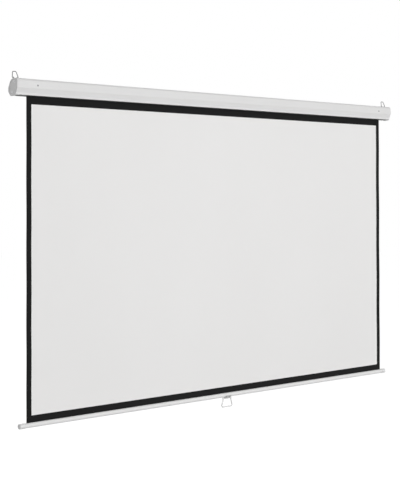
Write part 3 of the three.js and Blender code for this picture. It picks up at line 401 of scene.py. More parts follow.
def swept(path, radius, normal):
    """A round wire along a flat path: point = path + radius * (cos a * normal + sin a * side), where side
    is square to the path and to the plane's normal. Each end shrinks over a share of the radius."""
    path = np.asarray(path, float)
    heading = np.gradient(path, axis=0)
    heading /= np.linalg.norm(heading, axis=1)[:, None]
    path = np.concatenate([path[:1], path, path[-1:]])
    heading = np.concatenate([heading[:1], heading, heading[-1:]])
    radii = np.full(len(path), radius)
    radii[[0, -1]] = radius * (1 - WIRE_END_ROUND)
    path[1] += heading[1] * radius * WIRE_END_ROUND
    path[-2] -= heading[-2] * radius * WIRE_END_ROUND
    side = np.cross(heading, normal)
    angles = round_angles(WIRE_SIDES)
    circle = np.cos(angles)[:, None] * np.asarray(normal, float)
    rings = path[:, None] + radii[:, None, None] * (circle + np.sin(angles)[:, None] * side[:, None])
    return loft(rings)


def together(*parts):
    """Several surfaces as one mesh."""
    points, faces, offset = [], [], 0
    for part_points, part_faces in parts:
        points.append(part_points)
        faces += [[i + offset for i in face] for face in part_faces]
        offset += len(part_points)
    return np.concatenate(points), faces


def added(name, data):
    """A new object in the scene."""
    made = bpy.data.objects.new(name, data)
    bpy.context.scene.collection.objects.link(made)
    return made


def piece(name, surface, finish, bevel):
    """A surface as an object: its mesh is welded and faces outwards, and a bevel rounds its sharp edges."""
    points, faces = surface
    mesh = bpy.data.meshes.new(name)
    mesh.from_pydata(points, [], faces)
    work = bmesh.new()
    work.from_mesh(mesh)
    bmesh.ops.remove_doubles(work, verts=work.verts, dist=WELD)
    bmesh.ops.dissolve_degenerate(work, edges=work.edges, dist=WELD)
    bmesh.ops.recalc_face_normals(work, faces=work.faces)
    work.to_mesh(mesh)
    work.free()
    mesh.shade_smooth()
    mesh.set_sharp_from_angle(angle=SHARP_ANGLE)
    mesh.materials.append(finish)
    made = added(name, mesh)
    if bevel:
        rounding = made.modifiers.new("rounding", "BEVEL")
        rounding.width = bevel
        rounding.segments = 2
        rounding.limit_method = "ANGLE"
        rounding.angle_limit = SHARP_ANGLE
    shading = made.modifiers.new("shading", "WEIGHTED_NORMAL")
    shading.keep_sharp = True
    return made


# Finishes

class Value:
    """A node's output that can be used in sums: each operator adds the Math node that works it out."""

    def __init__(self, shader, socket):
        self.shader = shader
        self.socket = socket

    def _math(self, operation, *values):
        return self.shader.node("ShaderNodeMath", {"operation": operation}, dict(enumerate(values)))

    def __add__(self, other):
        return self._math("ADD", self, other)

    __radd__ = __add__

    def __sub__(self, other):
        return self._math("SUBTRACT", self, other)

    def __rsub__(self, other):
        return self._math("SUBTRACT", other, self)

    def __mul__(self, other):
        return self._math("MULTIPLY", self, other)

    __rmul__ = __mul__

    def sine(self):
        return self._math("SINE", self)

    def at_most(self, other):
        return self._math("MINIMUM", self, other)

    def ramp(self, low, high):
        """0 below low and 1 above high, with a smooth step between them."""
        settings = {"interpolation_type": "SMOOTHSTEP"}
        inputs = {"Value": self, "From Min": low, "From Max": high}
        return self.shader.node("ShaderNodeMapRange", settings, inputs)


class Shader:
    """A node tree being filled."""

    def __init__(self, tree):
        self.tree = tree
        tree.nodes.clear()

    def node(self, kind, settings=None, inputs=None, output=0):
        """Any node: its type, its settings, then the values or links of its sockets."""
        made = self.tree.nodes.new(kind)
        for key, value in (settings or {}).items():
            setattr(made, key, value)
        for key, value in (inputs or {}).items():
            if isinstance(value, Value):
                self.tree.links.new(value.socket, made.inputs[key])
            else:
                made.inputs[key].default_value = value
        return Value(self, made.outputs[output])

    def place(self):
        """The point on the piece, in metres in the object's own frame."""
        return self.node("ShaderNodeTexCoord", output="Object")

    def stretched(self, scale):
        """The point with each axis multiplied by its own scale."""
        return self.node("ShaderNodeMapping", None, {"Vector": self.place(), "Scale": scale})

    def noise(self, cells, detail, stretch=(1, 1, 1)):
        """Noise with that many cells a metre, from 0 to 1."""
        spot = self.stretched(tuple(cells * s for s in stretch))
        return self.node("ShaderNodeTexNoise", None, {"Vector": spot, "Scale": 1.0, "Detail": detail})

    def axis(self, name):
        """One coordinate of the point, X, Y or Z."""
        return self.node("ShaderNodeSeparateXYZ", None, {"Vector": self.place()}, output=name)

    def blend(self, share, first, second):
        """A colour between two others."""
        inputs = {"Factor": share, MIX_FIRST: first, MIX_SECOND: second}
        return self.node("ShaderNodeMix", {"data_type": "RGBA"}, inputs, MIX_RESULT)

    def bump(self, height, depth):
        """A bump whose height 0 to 1 stands for that depth in metres."""
        inputs = {"Height": height, "Distance": depth, "Strength": 1.0}
        return self.node("ShaderNodeBump", None, inputs, "Normal")

    def show(self, surface, kind="ShaderNodeOutputMaterial"):
        """The tree's output, fed by a surface."""
        made = self.tree.nodes.new(kind)
        self.tree.links.new(surface.socket, made.inputs["Surface"])


def grey(level, warmth=0.0):
    """A near-neutral colour: red is raised and blue lowered by the warmth."""
    return (level * (1 + warmth), level, level * (1 - warmth), 1)


def new_material(name):
    """A material and the shader that fills it."""
    material = bpy.data.materials.new(name)
    material.use_nodes = True
    return material, Shader(material.node_tree)


def finished(name, **sockets):
    """A new material, its shader with the constant sockets set, and a function that links what varies."""
    material, shader = new_material(name)
    surface = shader.tree.nodes.new("ShaderNodeBsdfPrincipled")
    shader.show(Value(shader, surface.outputs[0]))
    for key, value in sockets.items():
        surface.inputs[key.replace("_", " ")].default_value = value

    def varying(key, value):
        shader.tree.links.new(value.socket, surface.inputs[key])

    return material, shader, varying


def powder_coat(name, level, peel_depth):
    """Baked powder paint: orange peel about a millimetre across, faint drifts of tone, and a darker tone
    in the peel's dips, lighter on its crests."""
    material, shader, varying = finished(name, IOR=1.5, Specular_IOR_Level=0.2)
    drift = shader.noise(6, detail=3)
    peel = shader.noise(850, detail=2)
    fine = shader.noise(3200, detail=1)
    # Two colours mixed by random drift and by the peel's height: the darker one falls in the peel's dips, the
    # lighter one on its crests.
    darker_tone = grey(level * 0.965, 0.004)
    lighter_tone = grey(level * 1.02, 0.002)
    varying("Base Color", shader.blend(drift * 0.6 + peel * 0.4, darker_tone, lighter_tone))
    varying("Roughness", 0.36 + 0.14 * drift + 0.06 * fine)
    varying("Normal", shader.bump(peel + 0.25 * fine, peel_depth))
    return material


def moulded(name, level, rough=0.45, grain_depth=0.00003):
    """Moulded plastic: a fine eroded grain, slow drifts of tone from the flow, and a few rubbed spots."""
    material, shader, varying = finished(name, IOR=1.49)
    flow = shader.noise(35, detail=3, stretch=(0.4, 1, 1))
    grain = shader.noise(2400, detail=2)
    rubbed = shader.noise(90, detail=4).ramp(0.56, 0.72)
    varying("Base Color", shader.blend(flow, grey(level * 0.95), grey(level * 1.03)))
    varying("Roughness", rough + 0.1 * grain - 0.12 * rubbed)
    varying("Normal", shader.bump(grain, grain_depth))
    return material


def zinc(name, level, rough=0.3, dull=0.75):
    """Zinc plate: drawn lines along the metal, cloudy spangle, and darker spots where the plate is thin."""
    material, shader, varying = finished(name, Metallic=1.0)
    cloud = shader.noise(120, detail=4)
    lines = shader.noise(2600, detail=1, stretch=(0.08, 1, 1))
    spots = shader.noise(420, detail=3).ramp(0.58, 0.75)
    plated = shader.blend(cloud, grey(level * 0.86, -0.012), grey(level * 1.12, -0.006))
    varying("Base Color", shader.blend(spots, plated, grey(level * dull, 0.01)))
    varying("Roughness", rough + 0.16 * cloud + 0.08 * lines)
    varying("Normal", shader.bump(lines, 0.000012))
    return material


def weave(shader):
    """The cloth's emboss, threads crossing at right angles: sin(2 pi x / pitch) * sin(2 pi z / pitch),
    brought to 0 to 1."""
    turns = 2 * math.pi / THREAD
    return 0.5 + 0.5 * (shader.axis("X") * turns).sine() * (shader.axis("Z") * turns).sine()


def picture_coat(name):
    """The matt white projection coat: embossed cloth under it, fine grain, and faint long waves of tone."""
    material, shader, varying = finished(name, Specular_IOR_Level=0.22)
    waves = shader.noise(1.6, detail=2, stretch=(1, 1, 0.6))
    grain = shader.noise(1500, detail=2)
    darkest = grey(0.855, 0.008)
    lightest = grey(0.9, 0.006)
    varying("Base Color", shader.blend(waves * 0.7 + grain * 0.3, darkest, lightest))
    varying("Roughness", 0.86 + 0.1 * grain)
    varying("Normal", shader.bump(0.5 * weave(shader) + 0.5 * grain, 0.00004))
    return material


def black_cloth(name, level):
    """Black coated cloth: the same emboss, a dull sheen, pale lint here and there."""
    material, shader, varying = finished(name, Specular_IOR_Level=0.1)
    patches = shader.noise(9, detail=4)
    lint = shader.noise(900, detail=3).ramp(0.74, 0.8)
    base = shader.blend(patches, grey(level * 0.8, -0.02), grey(level * 1.25, -0.01))
    varying("Base Color", shader.blend(lint * 0.35, base, grey(0.09)))
    varying("Roughness", 0.68 + 0.16 * patches)
    varying("Normal", shader.bump(weave(shader), 0.00005))
    return material


finishes = {
    "case_paint": powder_coat("case_powder_coat", 0.8, peel_depth=0.000035),
    "bar_paint": powder_coat("bar_powder_coat", 0.86, peel_depth=0.00003),
    "trim_plastic": moulded("slot_trim_plastic", 0.03, rough=0.4),
    "cap_plastic": moulded("end_cap_plastic", 0.76, rough=0.46, grain_depth=0.00004),
    "bar_cap_plastic": moulded("bar_cap_plastic", 0.82, rough=0.38),
    "clip_plastic": moulded("handle_clip_plastic", 0.54, rough=0.44),
    "handle_plastic": moulded("handle_dip_coat", 0.85, rough=0.24, grain_depth=0.00001),
    "plug_plastic": moulded("roller_plug_plastic", 0.5, rough=0.5),
    "bush_plastic": moulded("bush_plastic", 0.04, rough=0.4),
    "zinc_steel": zinc("zinc_plate", 0.55),
    "hook_wire": zinc("hook_wire_zinc", 0.2, rough=0.34),
    "screw_steel": zinc("screw_zinc", 0.55, rough=0.25),
    "rivet_steel": zinc("rivet_zinc", 0.26, rough=0.45),
    "dark_steel": zinc("oiled_steel", 0.26, rough=0.34, dull=0.6),
    "spring_steel": zinc("spring_wire", 0.2, rough=0.36, dull=0.7),
    "black_backing": black_cloth("black_screen_cloth", 0.0085),
    "white_coating": picture_coat("white_picture_coat"),
}

slots = {part["node"]: part["material_slot"] for part in frame["record"]["subparts"]}
for node_name, node in frame["nodes"].items():
    node.data.materials.clear()
    node.data.materials.append(finishes[slots[node_name]])


def dressed(name, surface, body, node, bevel=0.0):
    """A piece that rides on a body and stands for one solid, with the finish of that solid's slot."""
    slot = slots[node]
    made = piece(name, surface, finishes[slot], bevel)
    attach(made, body)
    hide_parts(node)
    return made


def centre_of(node):
    """The middle of a node's box."""
    low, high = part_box(node)
    return (low + high) / 2


# The case

def flange_bottom(y):
    """The underside of the flange behind the lip, half a wall below a line to the nose's centre."""
    return TRIM_Z + (FRONT_BEND_Y - y) * math.tan(FLANGE_SLANT) - CASE_WALL / 2 / math.cos(FLANGE_SLANT)


FRONT_EDGE_Y = FRONT_BEND_Y - TRIM_BACKING - GAP
REAR_EDGE_Y = REAR_BEND_Y + TRIM_BACKING + GAP
LIP_BOTTOM = flange_bottom(LIP_Y)
LIP_TOP = LIP_BOTTOM + FRONT_LIP_HEIGHT
BACK_FLAT_BOTTOM = CASE_BOTTOM + BACK_FOOT_RISE
BACK_FLAT_TOP = BACK_FLAT_BOTTOM + BACK_FLAT_HEIGHT
SHOULDER_TURN = math.pi / 2 - math.atan2(BACK_SHOULDER_RUN, CASE_TOP - BACK_FLAT_TOP)
SHOULDER_Y = WALL_Y - BACK_SHOULDER_RUN - BACK_SHOULDER_RADIUS * math.tan(SHOULDER_TURN / 2)
SHOULDER_Z = CASE_TOP - BACK_SHOULDER_RADIUS
SADDLE_SEAT = BACK_SHOULDER_RADIUS + GAP / 2
HOOK_PIVOT = SADDLE_SEAT + SADDLE_PLATE + PIVOT_RISE
PIVOT_Y = SHOULDER_Y + HOOK_PIVOT * math.sin(SADDLE_TURN)
PIVOT_Z = SHOULDER_Z + HOOK_PIVOT * math.cos(SADDLE_TURN)

upper_corners = [
    (WALL_Y, BACK_FLAT_BOTTOM, FOLD_RADIUS),
    (WALL_Y, BACK_FLAT_TOP, 2 * FOLD_RADIUS),
    (WALL_Y - BACK_SHOULDER_RUN, CASE_TOP, BACK_SHOULDER_RADIUS),
    (CASE_FRONT_Y, CASE_TOP, FRONT_TOP_RADIUS),
    (CASE_FRONT_Y, LIP_TOP + FRONT_SLOPE_HEIGHT, FOLD_RADIUS),
    (LIP_Y, LIP_TOP, FOLD_RADIUS / 2),
]
shell_corners = [
    (WALL_Y - BACK_FOOT_RUN, CASE_BOTTOM, FOLD_RADIUS),
    *upper_corners,
    (LIP_Y, LIP_BOTTOM, FOLD_RADIUS / 2),
]
spigot_corners = [*shell_corners, (FRONT_BEND_Y, CASE_BOTTOM, FOLD_RADIUS)]
cap_corners = [
    (WALL_Y - BACK_FOOT_RUN, CASE_BOTTOM - CAP_SKIRT, 2 * FOLD_RADIUS),
    *upper_corners,
    (LIP_Y, LIP_BOTTOM - CAP_LIP_SKIRT, 2 * FOLD_RADIUS),
    (FRONT_BEND_Y, CASE_BOTTOM - CAP_SKIRT, 2 * FOLD_RADIUS),
]


def case_shell():
    """The folded sheet from the slot's rear edge round to its front edge, its inside a wall further in."""
    corners = [
        (REAR_EDGE_Y, CASE_BOTTOM, 0),
        *shell_corners,
        (FRONT_EDGE_Y, flange_bottom(FRONT_EDGE_Y), 0),
    ]
    return strip(route(corners), route(inset(corners, CASE_WALL)), [case_low.x, case_high.x])


def end_cap(side):
    """Rings of one outline, each moved in and out: up the spigot, over the plate's edge, into its recess."""
    thick = CAP_FACE - CAP_SEAM
    outer_spigot = CASE_WALL + GAP
    inner_spigot = outer_spigot + SPIGOT_WALL
    spigot = route([
        (0, inner_spigot, 0),
        (-SPIGOT_DEPTH, inner_spigot, SPIGOT_INNER_FILLET),
        (-SPIGOT_DEPTH, outer_spigot, SPIGOT_OUTER_FILLET),
        (0, outer_spigot, 0),
    ], steps=5)
    plate = route([
        (0, CAP_BACK_LAND, 0),
        (0, 0, CAP_BACK_FILLET),
        (thick, 0, CAP_FILLET),
        (thick, CAP_RIM, CAP_STEP_FILLET),
        (thick - CAP_RECESS, CAP_RIM + CAP_STEP_SLANT, CAP_STEP_FILLET),
        (thick - CAP_RECESS, CAP_RIM + CAP_FACE_LAND, 0),
    ], steps=5)
    places = [(spigot_corners, x, d) for x, d in spigot] + [(cap_corners, x, d) for x, d in plate]
    return loft([
        along_x(outline(inset(corners, d), steps=6), side * (CAP_SEAM + x)) for corners, x, d in places
    ])


def pan_screw(side, y, z):
    """A pan head over polar rings at shares r of its radius: height * (rim + (1 - rim) * sqrt(1 - r^4)),
    less a cross cut where either arm's width covers the point. A shank goes back from it."""
    spokes = round_angles(SCREW_SPOKES)
    shares = np.linspace(SCREW_FIRST_SHARE, 1, SCREW_RINGS)[:, None]
    a = shares * SCREW_HEAD_RADIUS * np.cos(spokes)
    b = shares * SCREW_HEAD_RADIUS * np.sin(spokes)

    def arm(across, along):
        """1 inside one arm of the cross and 0 outside it, with a steep edge."""
        inside = (CROSS_HALF_WIDTH - np.abs(across)) / CROSS_EDGE + 0.5
        short = (CROSS_REACH - np.abs(along)) / CROSS_EDGE + 0.5
        return np.clip(inside, 0, 1) * np.clip(short, 0, 1)

    dome = np.sqrt(np.clip(1 - shares ** 4, 0, 1))
    crown = SCREW_HEAD_HEIGHT * (SCREW_RIM_SHARE + (1 - SCREW_RIM_SHARE) * dome)
    top = np.stack([crown - CROSS_DEPTH * np.maximum(arm(a, b), arm(b, a)), a, b], axis=-1)
    back = np.array([
        (0, SCREW_HEAD_RADIUS),
        (0, SCREW_SHANK_RADIUS),
        (-SCREW_LENGTH, SCREW_SHANK_RADIUS),
        (-SCREW_LENGTH, SCREW_SHANK_RADIUS * SCREW_TIP_SHARE),
    ])
    shaft = np.stack([
        np.broadcast_to(back[:, :1], (len(back), len(spokes))),
        back[:, 1:] * np.cos(spokes),
        back[:, 1:] * np.sin(spokes),
    ], axis=-1)
    rings = np.concatenate([top, shaft])
    rings[..., 0] = side * (CAP_FACE - CAP_RECESS + SCREW_SEAT + rings[..., 0])
    rings[..., 1] += y
    rings[..., 2] += z
    return loft(rings)


def blind_rivet(centre, axis, head, height, shank, length):
    """A domed head with the dimple of its drawn mandrel, and a shank behind it. The axis points out of
    the head."""
    profile = route([
        (DIMPLE_RISE * height, 0, 0),
        (DIMPLE_RISE * height, DIMPLE_FLOOR * head, RIVET_FINE_FILLET),
        (height, DIMPLE_MOUTH * head, RIVET_EDGE_FILLET),
        (DOME_RISE * height, DOME_REACH * head, DOME_FILLET),
        (0, head, RIVET_EDGE_FILLET),
        (0, shank, RIVET_FINE_FILLET),
        (-length, shank, RIVET_FINE_FILLET),
        (-length, 0, 0),
    ], steps=4)
    return turned(profile, centre, axis, RIVET_SIDES)


def slot_trim(lower_leaf, turn, bend_y):
    """A sleeve on the sheet's edge: a round nose, two leaves along the sheet and a groove between them,
    turned about the nose's centre."""
    upper_leaf = TRIM_DEPTH - TRIM_HALF
    half = CASE_WALL / 2 + GAP / 2
    nose_radius = TRIM_HALF * TRIM_NOSE_SHARE
    section = outline([
        (-lower_leaf, -TRIM_HALF, TRIM_LOWER_FILLET),
        (TRIM_HALF, -TRIM_HALF, nose_radius),
        (TRIM_HALF, TRIM_HALF, nose_radius),
        (-upper_leaf, TRIM_HALF, TRIM_UPPER_FILLET),
        (-upper_leaf, half, TRIM_MOUTH_FILLET),
        (-TRIM_BACKING, half, TRIM_GROOVE_FILLET),
        (-TRIM_BACKING, -half, TRIM_GROOVE_FILLET),
        (-lower_leaf, -half, TRIM_MOUTH_FILLET),
    ])
    spin = np.array([[math.cos(turn), math.sin(turn)], [-math.sin(turn), math.cos(turn)]])
    return extruded(section @ spin + np.array([bend_y, TRIM_Z]), front_trim_low.x, front_trim_high.x)


dressed("case_body", case_shell(), "case", "case_shell", bevel=METAL_EDGE)
front_leaf = (FRONT_BEND_Y - LIP_Y - TRIM_TO_LIP) / math.cos(FLANGE_SLANT)
front_lip = slot_trim(front_leaf, -FLANGE_SLANT, FRONT_BEND_Y)
rear_lip = slot_trim(TRIM_DEPTH - TRIM_HALF, math.pi, REAR_BEND_Y)
dressed("front_slot_lip", front_lip, "case", "front_slot_trim", bevel=TRIM_EDGE)
dressed("rear_slot_lip", rear_lip, "case", "rear_slot_trim", bevel=TRIM_EDGE)


# The hooks

def leaned(surface, lean, place):
    """A surface turned back about X by an angle, then moved to its place."""
    points, faces = surface
    turn = np.array(Matrix.Rotation(-lean, 3, "X"))
    return points @ turn.T + np.array(place), faces


def on_shoulder(surface, x):
    """A surface drawn about the shoulder's centre, with its middle turned to where the saddle sits."""
    return leaned(surface, SADDLE_TURN, (x, SHOULDER_Y, SHOULDER_Z))


def hook_wire():
    """One wire: a foot in each ear, legs that lean in, and a flat top between two bends."""
    flat = route([
        (-HOOK_FOOT_INNER, 0, 0),
        (-HOOK_BASE_HALF, 0, HOOK_FOOT_BEND),
        (-HOOK_TOP_HALF, HOOK_RISE, HOOK_TOP_BEND),
        (HOOK_TOP_HALF, HOOK_RISE, HOOK_TOP_BEND),
        (HOOK_BASE_HALF, 0, HOOK_FOOT_BEND),
        (HOOK_FOOT_INNER, 0, 0),
    ])
    path = np.stack([flat[:, 0], np.zeros(len(flat)), flat[:, 1]], axis=1)
    return swept(path, HOOK_WIRE_RADIUS, (0, 1, 0))


def hook_saddle():
    """A plate bent to the shoulder's radius, and two ears, each with a half circle over the wire's centre."""
    reach = SADDLE_DEPTH / 2 / BACK_SHOULDER_RADIUS
    up = math.pi / 2
    radii = (SADDLE_SEAT + SADDLE_PLATE, SADDLE_SEAT)
    outer, inner = [arc((0, 0), radius, up + reach, up - reach, steps=12) for radius in radii]
    plate = strip(outer, inner, [-EAR_OUTER, EAR_OUTER])
    crown = arc((0, HOOK_PIVOT), EAR_RADIUS, 0, math.pi, steps=20)
    foot_z = SADDLE_SEAT + SADDLE_PLATE / 2
    foot_half = EAR_RADIUS + EAR_FOOT_SPREAD
    ear = np.concatenate([[(-foot_half, foot_z), (foot_half, foot_z)], crown])
    ears = [extruded(ear, x, x + EAR_THICKNESS) for x in (-EAR_OUTER, EAR_OUTER - EAR_THICKNESS)]
    return together(plate, *ears)


for word, side in (("left", -1), ("right", 1)):
    dressed(f"{word}_cap_moulding", end_cap(side), "case", f"{word}_end_cap")
    for place in ("upper", "lower"):
        screw_node = f"{word}_cap_screw_{place}"
        middle = centre_of(screw_node)
        dressed(f"{word}_{place}_pan_screw", pan_screw(side, middle.y, middle.z), "case", screw_node)
    middle = centre_of(f"{word}_case_rivet")
    rivet = blind_rivet((middle.x, CASE_FRONT_Y, middle.z), (0, -1, 0), **CASE_RIVET)
    dressed(f"{word}_front_rivet", rivet, "case", f"{word}_case_rivet")
    hook_x = centre_of(f"{word}_hook").x
    hook = leaned(hook_wire(), HOOK_LEAN, (hook_x, PIVOT_Y, PIVOT_Z))
    dressed(f"{word}_hanging_hook", hook, f"{word}_hook", f"{word}_hook")
    saddle = on_shoulder(hook_saddle(), hook_x)
    dressed(f"{word}_saddle", saddle, "case", f"{word}_hook_saddle", bevel=SADDLE_EDGE)
    seat = (-side * SADDLE_RIVET_IN, 0, SADDLE_SEAT + SADDLE_PLATE)
    rivet = on_shoulder(blind_rivet(seat, (0, 0, 1), **SADDLE_RIVET), hook_x)
    dressed(f"{word}_saddle_rivet", rivet, "case", f"{word}_hook_rivet")


# The cloth

def edge_waves(distance, down, half_waves, phase):
    """Waves down the drop that fade from a side edge: exp(-distance / reach) * sin(waves * pi * down +
    phase)."""
    return np.exp(-distance / EDGE_REACH) * np.sin(half_waves * down * math.pi + phase)


def ripple(x, z):
    """How far the cloth stands towards the wall: waves from both side edges and a shallow sine across,
    all held to nothing at the top and the bottom by the smooth step 3 h^2 - 2 h^3."""
    down = (cloth_high.z - z) / DROP
    hold = np.clip(np.minimum(down, 1 - down) / RIPPLE_FADE, 0, 1)
    hold = hold * hold * (3 - 2 * hold)
    left = edge_waves(x + CLOTH_HALF, down, LEFT_HALF_WAVES, LEFT_PHASE)
    right = edge_waves(CLOTH_HALF - x, down, RIGHT_HALF_WAVES, RIGHT_PHASE)
    across = np.sin(x * 2 * math.pi / ACROSS_PITCH + ACROSS_PHASE) * np.sin(down * math.pi)
    return RIPPLE_DEPTH * hold * (left + right + ACROSS_SHARE * across)


def hanging(low, high, thickness):
    """A slab between two corners: its front at y = low y + ripple(x, z), its back a thickness behind, and
    its four edges closed."""
    across = np.linspace(low.x, high.x, CLOTH_COLUMNS + 1)
    x, z = np.meshgrid(across, np.linspace(high.z, low.z, CLOTH_ROWS + 1))
    face = np.stack([x, low.y + ripple(x, z), z], axis=-1)
    back = face + np.array([0, thickness, 0])
    return sheet_of(np.concatenate([face, back[:, ::-1]], axis=1))


cloth_surface = hanging(cloth_low, cloth_high, CLOTH_THICKNESS)
picture_surface = hanging(picture_low, picture_high, COAT_THICKNESS)
screen_cloth = dressed("screen_cloth", cloth_surface, "case", "screen_backing")
picture_area = dressed("picture_area", picture_surface, "case", "viewing_surface")

travel = next(joint for joint in frame["joints"] if joint["name"] == "screen_travel")["range_m"][1]
for cloth in (screen_cloth, picture_area):
    1 - travel / DROP
    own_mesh(cloth)

# The cloth's middle line inside the case goes round the front lip's nose and on to the roll
nose = np.array([FRONT_BEND_Y, TRIM_Z])
axle = np.array([ROLLER_Y, ROLLER_Z])
near_nose = CLOTH_FRONT_Y - FRONT_BEND_Y + CLOTH_THICKNESS / 2
near_roll = ROLL_RADIUS + CLOTH_THICKNESS


def leader_lean():
    """How far the middle line turns round the nose, from its rear side to the inner common tangent with
    the roll: the angle of the line of centres, less acos(sum of the radii / their distance)."""
    run, rise = axle - nose
    return math.atan2(rise, run) - math.acos((near_nose + near_roll) / math.hypot(run, rise))


LEADER_LEAN = leader_lean()


def leader_line(offset):
    """The cloth inside the case in (y, z), that far from its middle line: up to the nose, round it, and
    straight to the roll's front."""
    start = nose + np.array([near_nose + offset, cloth_high.z - TRIM_Z])
    end = axle - (near_roll - offset) * towards(LEADER_LEAN)
    return np.concatenate([[start], arc(nose, near_nose + offset, 0, LEADER_LEAN, steps=8), [end]])


def leader():
    """The stretch of cloth inside the case, as two lines a thickness apart."""
    half = CLOTH_THICKNESS / 2
    places = np.linspace(-CLOTH_HALF, CLOTH_HALF, LEADER_PLACES)
    return strip(leader_line(-half), leader_line(half), places)


def wound_roll():
    """The last wraps on the tube, as a spiral whose radius grows evenly with the angle, from the tube out
    to the leader's end."""
    outer_end = math.pi + LEADER_LEAN
    angles = np.linspace(outer_end + ROLL_WRAPS * 2 * math.pi, outer_end, ROLL_STEPS)
    start = TUBE_RADIUS + CLOTH_THICKNESS / 2 + ROLL_CLEARANCE
    radius = start + (near_roll - start) * np.linspace(0, 1, ROLL_STEPS)
    spoke = np.stack([np.cos(angles), np.sin(angles)], axis=1)
    half = CLOTH_THICKNESS / 2 * ROLL_CLOTH_SHARE
    outer, inner = [axle + (radius + offset)[:, None] * spoke for offset in (half, -half)]
    return strip(outer, inner, [-CLOTH_HALF, CLOTH_HALF])


leader_cloth = dressed("slot_leader", leader(), "case", "fabric_leader")
roll_cloth = dressed("wound_cloth", wound_roll(), "roller", "fabric_roll")


# The bottom bar

def open_ring(centre, radius, opening, steps):
    """An arc from one side of an opening at the top, round to its other side. The opening is given as its
    half angle."""
    start = math.pi / 2 + opening
    return arc(centre, radius, start, start + 2 * (math.pi - opening), steps)


def bar_tube():
    """A tube with a slot along its top, whose half angle is asin(half the slot / radius)."""
    radii = (BAR_RADIUS, BAR_RADIUS - BAR_WALL)
    outer, inner = [
        open_ring((BAR_Y, BAR_Z), radius, math.asin(BAR_SLOT / 2 / radius), BAR_STEPS) for radius in radii
    ]
    return strip(outer, inner, [bar_low.x, bar_high.x])


def bar_cap(side):
    """A cup over the bar's end: its bore and floor, a rounded rim at the mouth and a rounded outer edge."""
    bore = BAR_RADIUS + GAP
    outer = bore + BAR_CAP_WALL
    far = bar_cap_high.x
    mouth = far - BAR_CAP_LENGTH
    bottom = bar_high.x + GAP
    profile = route([
        (bottom, 0, 0),
        (bottom, bore, BAR_CAP_FLOOR_FILLET),
        (mouth, bore, BAR_CAP_BORE_FILLET),
        (mouth, outer, BAR_CAP_MOUTH_FILLET),
        (far, outer, BAR_CAP_FILLET),
        (far, 0, 0),
    ], steps=8)
    return turned(profile * np.array([side, 1]), (0, BAR_Y, BAR_Z), (1, 0, 0), BAR_CAP_SIDES)


def hem():
    """The cloth's lower edge: a loop round the hem rod, welded to itself above the rod."""
    radii = (HEM_RADIUS, HEM_RADIUS - 2 * CLOTH_THICKNESS)
    outer, inner = [open_ring((BAR_Y, HEM_Z), radius, HEM_OPENING, HEM_STEPS) for radius in radii]
    return strip(outer, inner, [-CLOTH_HALF, CLOTH_HALF])


def clip():
    """The handle's clip, its outline made of arcs: a saddle under the bar, a fillet on each side and a
    knuckle round the pin. The fillet's centre makes a triangle with the bar's and the pin's centres, whose
    angles come from its sides by the law of cosines."""
    centre = np.array([BAR_Y, BAR_Z])
    knuckle = np.array([BAR_Y, PIN_Z])
    down = -math.pi / 2
    near = BAR_RADIUS + GAP
    far = near + CLIP_WALL
    apart = BAR_Z - PIN_Z
    from_bar = far + CLIP_FILLET
    from_pin = KNUCKLE_RADIUS + CLIP_FILLET
    at_bar = math.acos((from_bar ** 2 + apart ** 2 - from_pin ** 2) / (2 * from_bar * apart))
    at_pin = math.acos((from_pin ** 2 + apart ** 2 - from_bar ** 2) / (2 * from_pin * apart))
    fillet = centre + from_bar * towards(down + at_bar)
    right = np.concatenate([
        arc(knuckle, KNUCKLE_RADIUS, down, math.pi / 2 - at_pin, steps=16),
        arc(fillet, CLIP_FILLET, math.pi * 1.5 - at_pin, down + at_bar + math.pi, steps=8),
        arc(centre, far, down + at_bar, down + CLIP_SPAN, steps=16),
        arc(centre, near, down + CLIP_SPAN, down, steps=20),
    ])
    left = right[::-1] * np.array([-1, 1]) + np.array([2 * BAR_Y, 0])
    return extruded(np.concatenate([right, left[1:-1]]), clip_low.x, clip_high.x)


def handle_rod():
    """A rod bent to a trapezium below the pin, and a rounded eye at each end that turns on the pin."""
    flat = route([
        (-HANDLE_TOP_HALF, 0, 0),
        (-HANDLE_FOOT_HALF, -HANDLE_DROP, HANDLE_BEND),
        (HANDLE_FOOT_HALF, -HANDLE_DROP, HANDLE_BEND),
        (HANDLE_TOP_HALF, 0, 0),
    ], steps=14)
    centre = np.array([0, PIN_Y, PIN_Z])
    heading = (flat[1] - flat[0]) / np.linalg.norm(flat[1] - flat[0])
    lead = heading * EYE_BORE * ROD_START_IN_BORES
    flat[0] += lead
    flat[-1] += lead * np.array([-1, 1])
    path = np.stack([flat[:, 0], np.zeros(len(flat)), flat[:, 1]], axis=1) + centre
    low = clip_high.x + GAP
    high = pin_high.x - PIN_HEAD_LENGTH - GAP
    profile = route([
        (high, EYE_BORE, 0),
        (high, EYE_RADIUS, EYE_FILLET),
        (low, EYE_RADIUS, EYE_FILLET),
        (low, EYE_BORE, 0),
        (high, EYE_BORE, 0),
    ], steps=6)
    eyes = [turned(profile * np.array([side, 1]), centre, (1, 0, 0), PIN_SIDES) for side in (-1, 1)]
    return together(swept(path, HANDLE_ROD_RADIUS, (0, 1, 0)), *eyes)


def headed_pin():
    """A pin with a rounded head at each end."""
    end = pin_high.x
    seat = end - PIN_HEAD_LENGTH
    profile = route([
        (-end, 0, 0),
        (-end, PIN_HEAD_RADIUS, PIN_HEAD_FILLET),
        (-seat, PIN_HEAD_RADIUS, PIN_NECK_FILLET),
        (-seat, PIN_RADIUS, 0),
        (seat, PIN_RADIUS, 0),
        (seat, PIN_HEAD_RADIUS, PIN_NECK_FILLET),
        (end, PIN_HEAD_RADIUS, PIN_HEAD_FILLET),
        (end, 0, 0),
    ], steps=6)
    return turned(profile, (0, PIN_Y, PIN_Z), (1, 0, 0), PIN_SIDES)


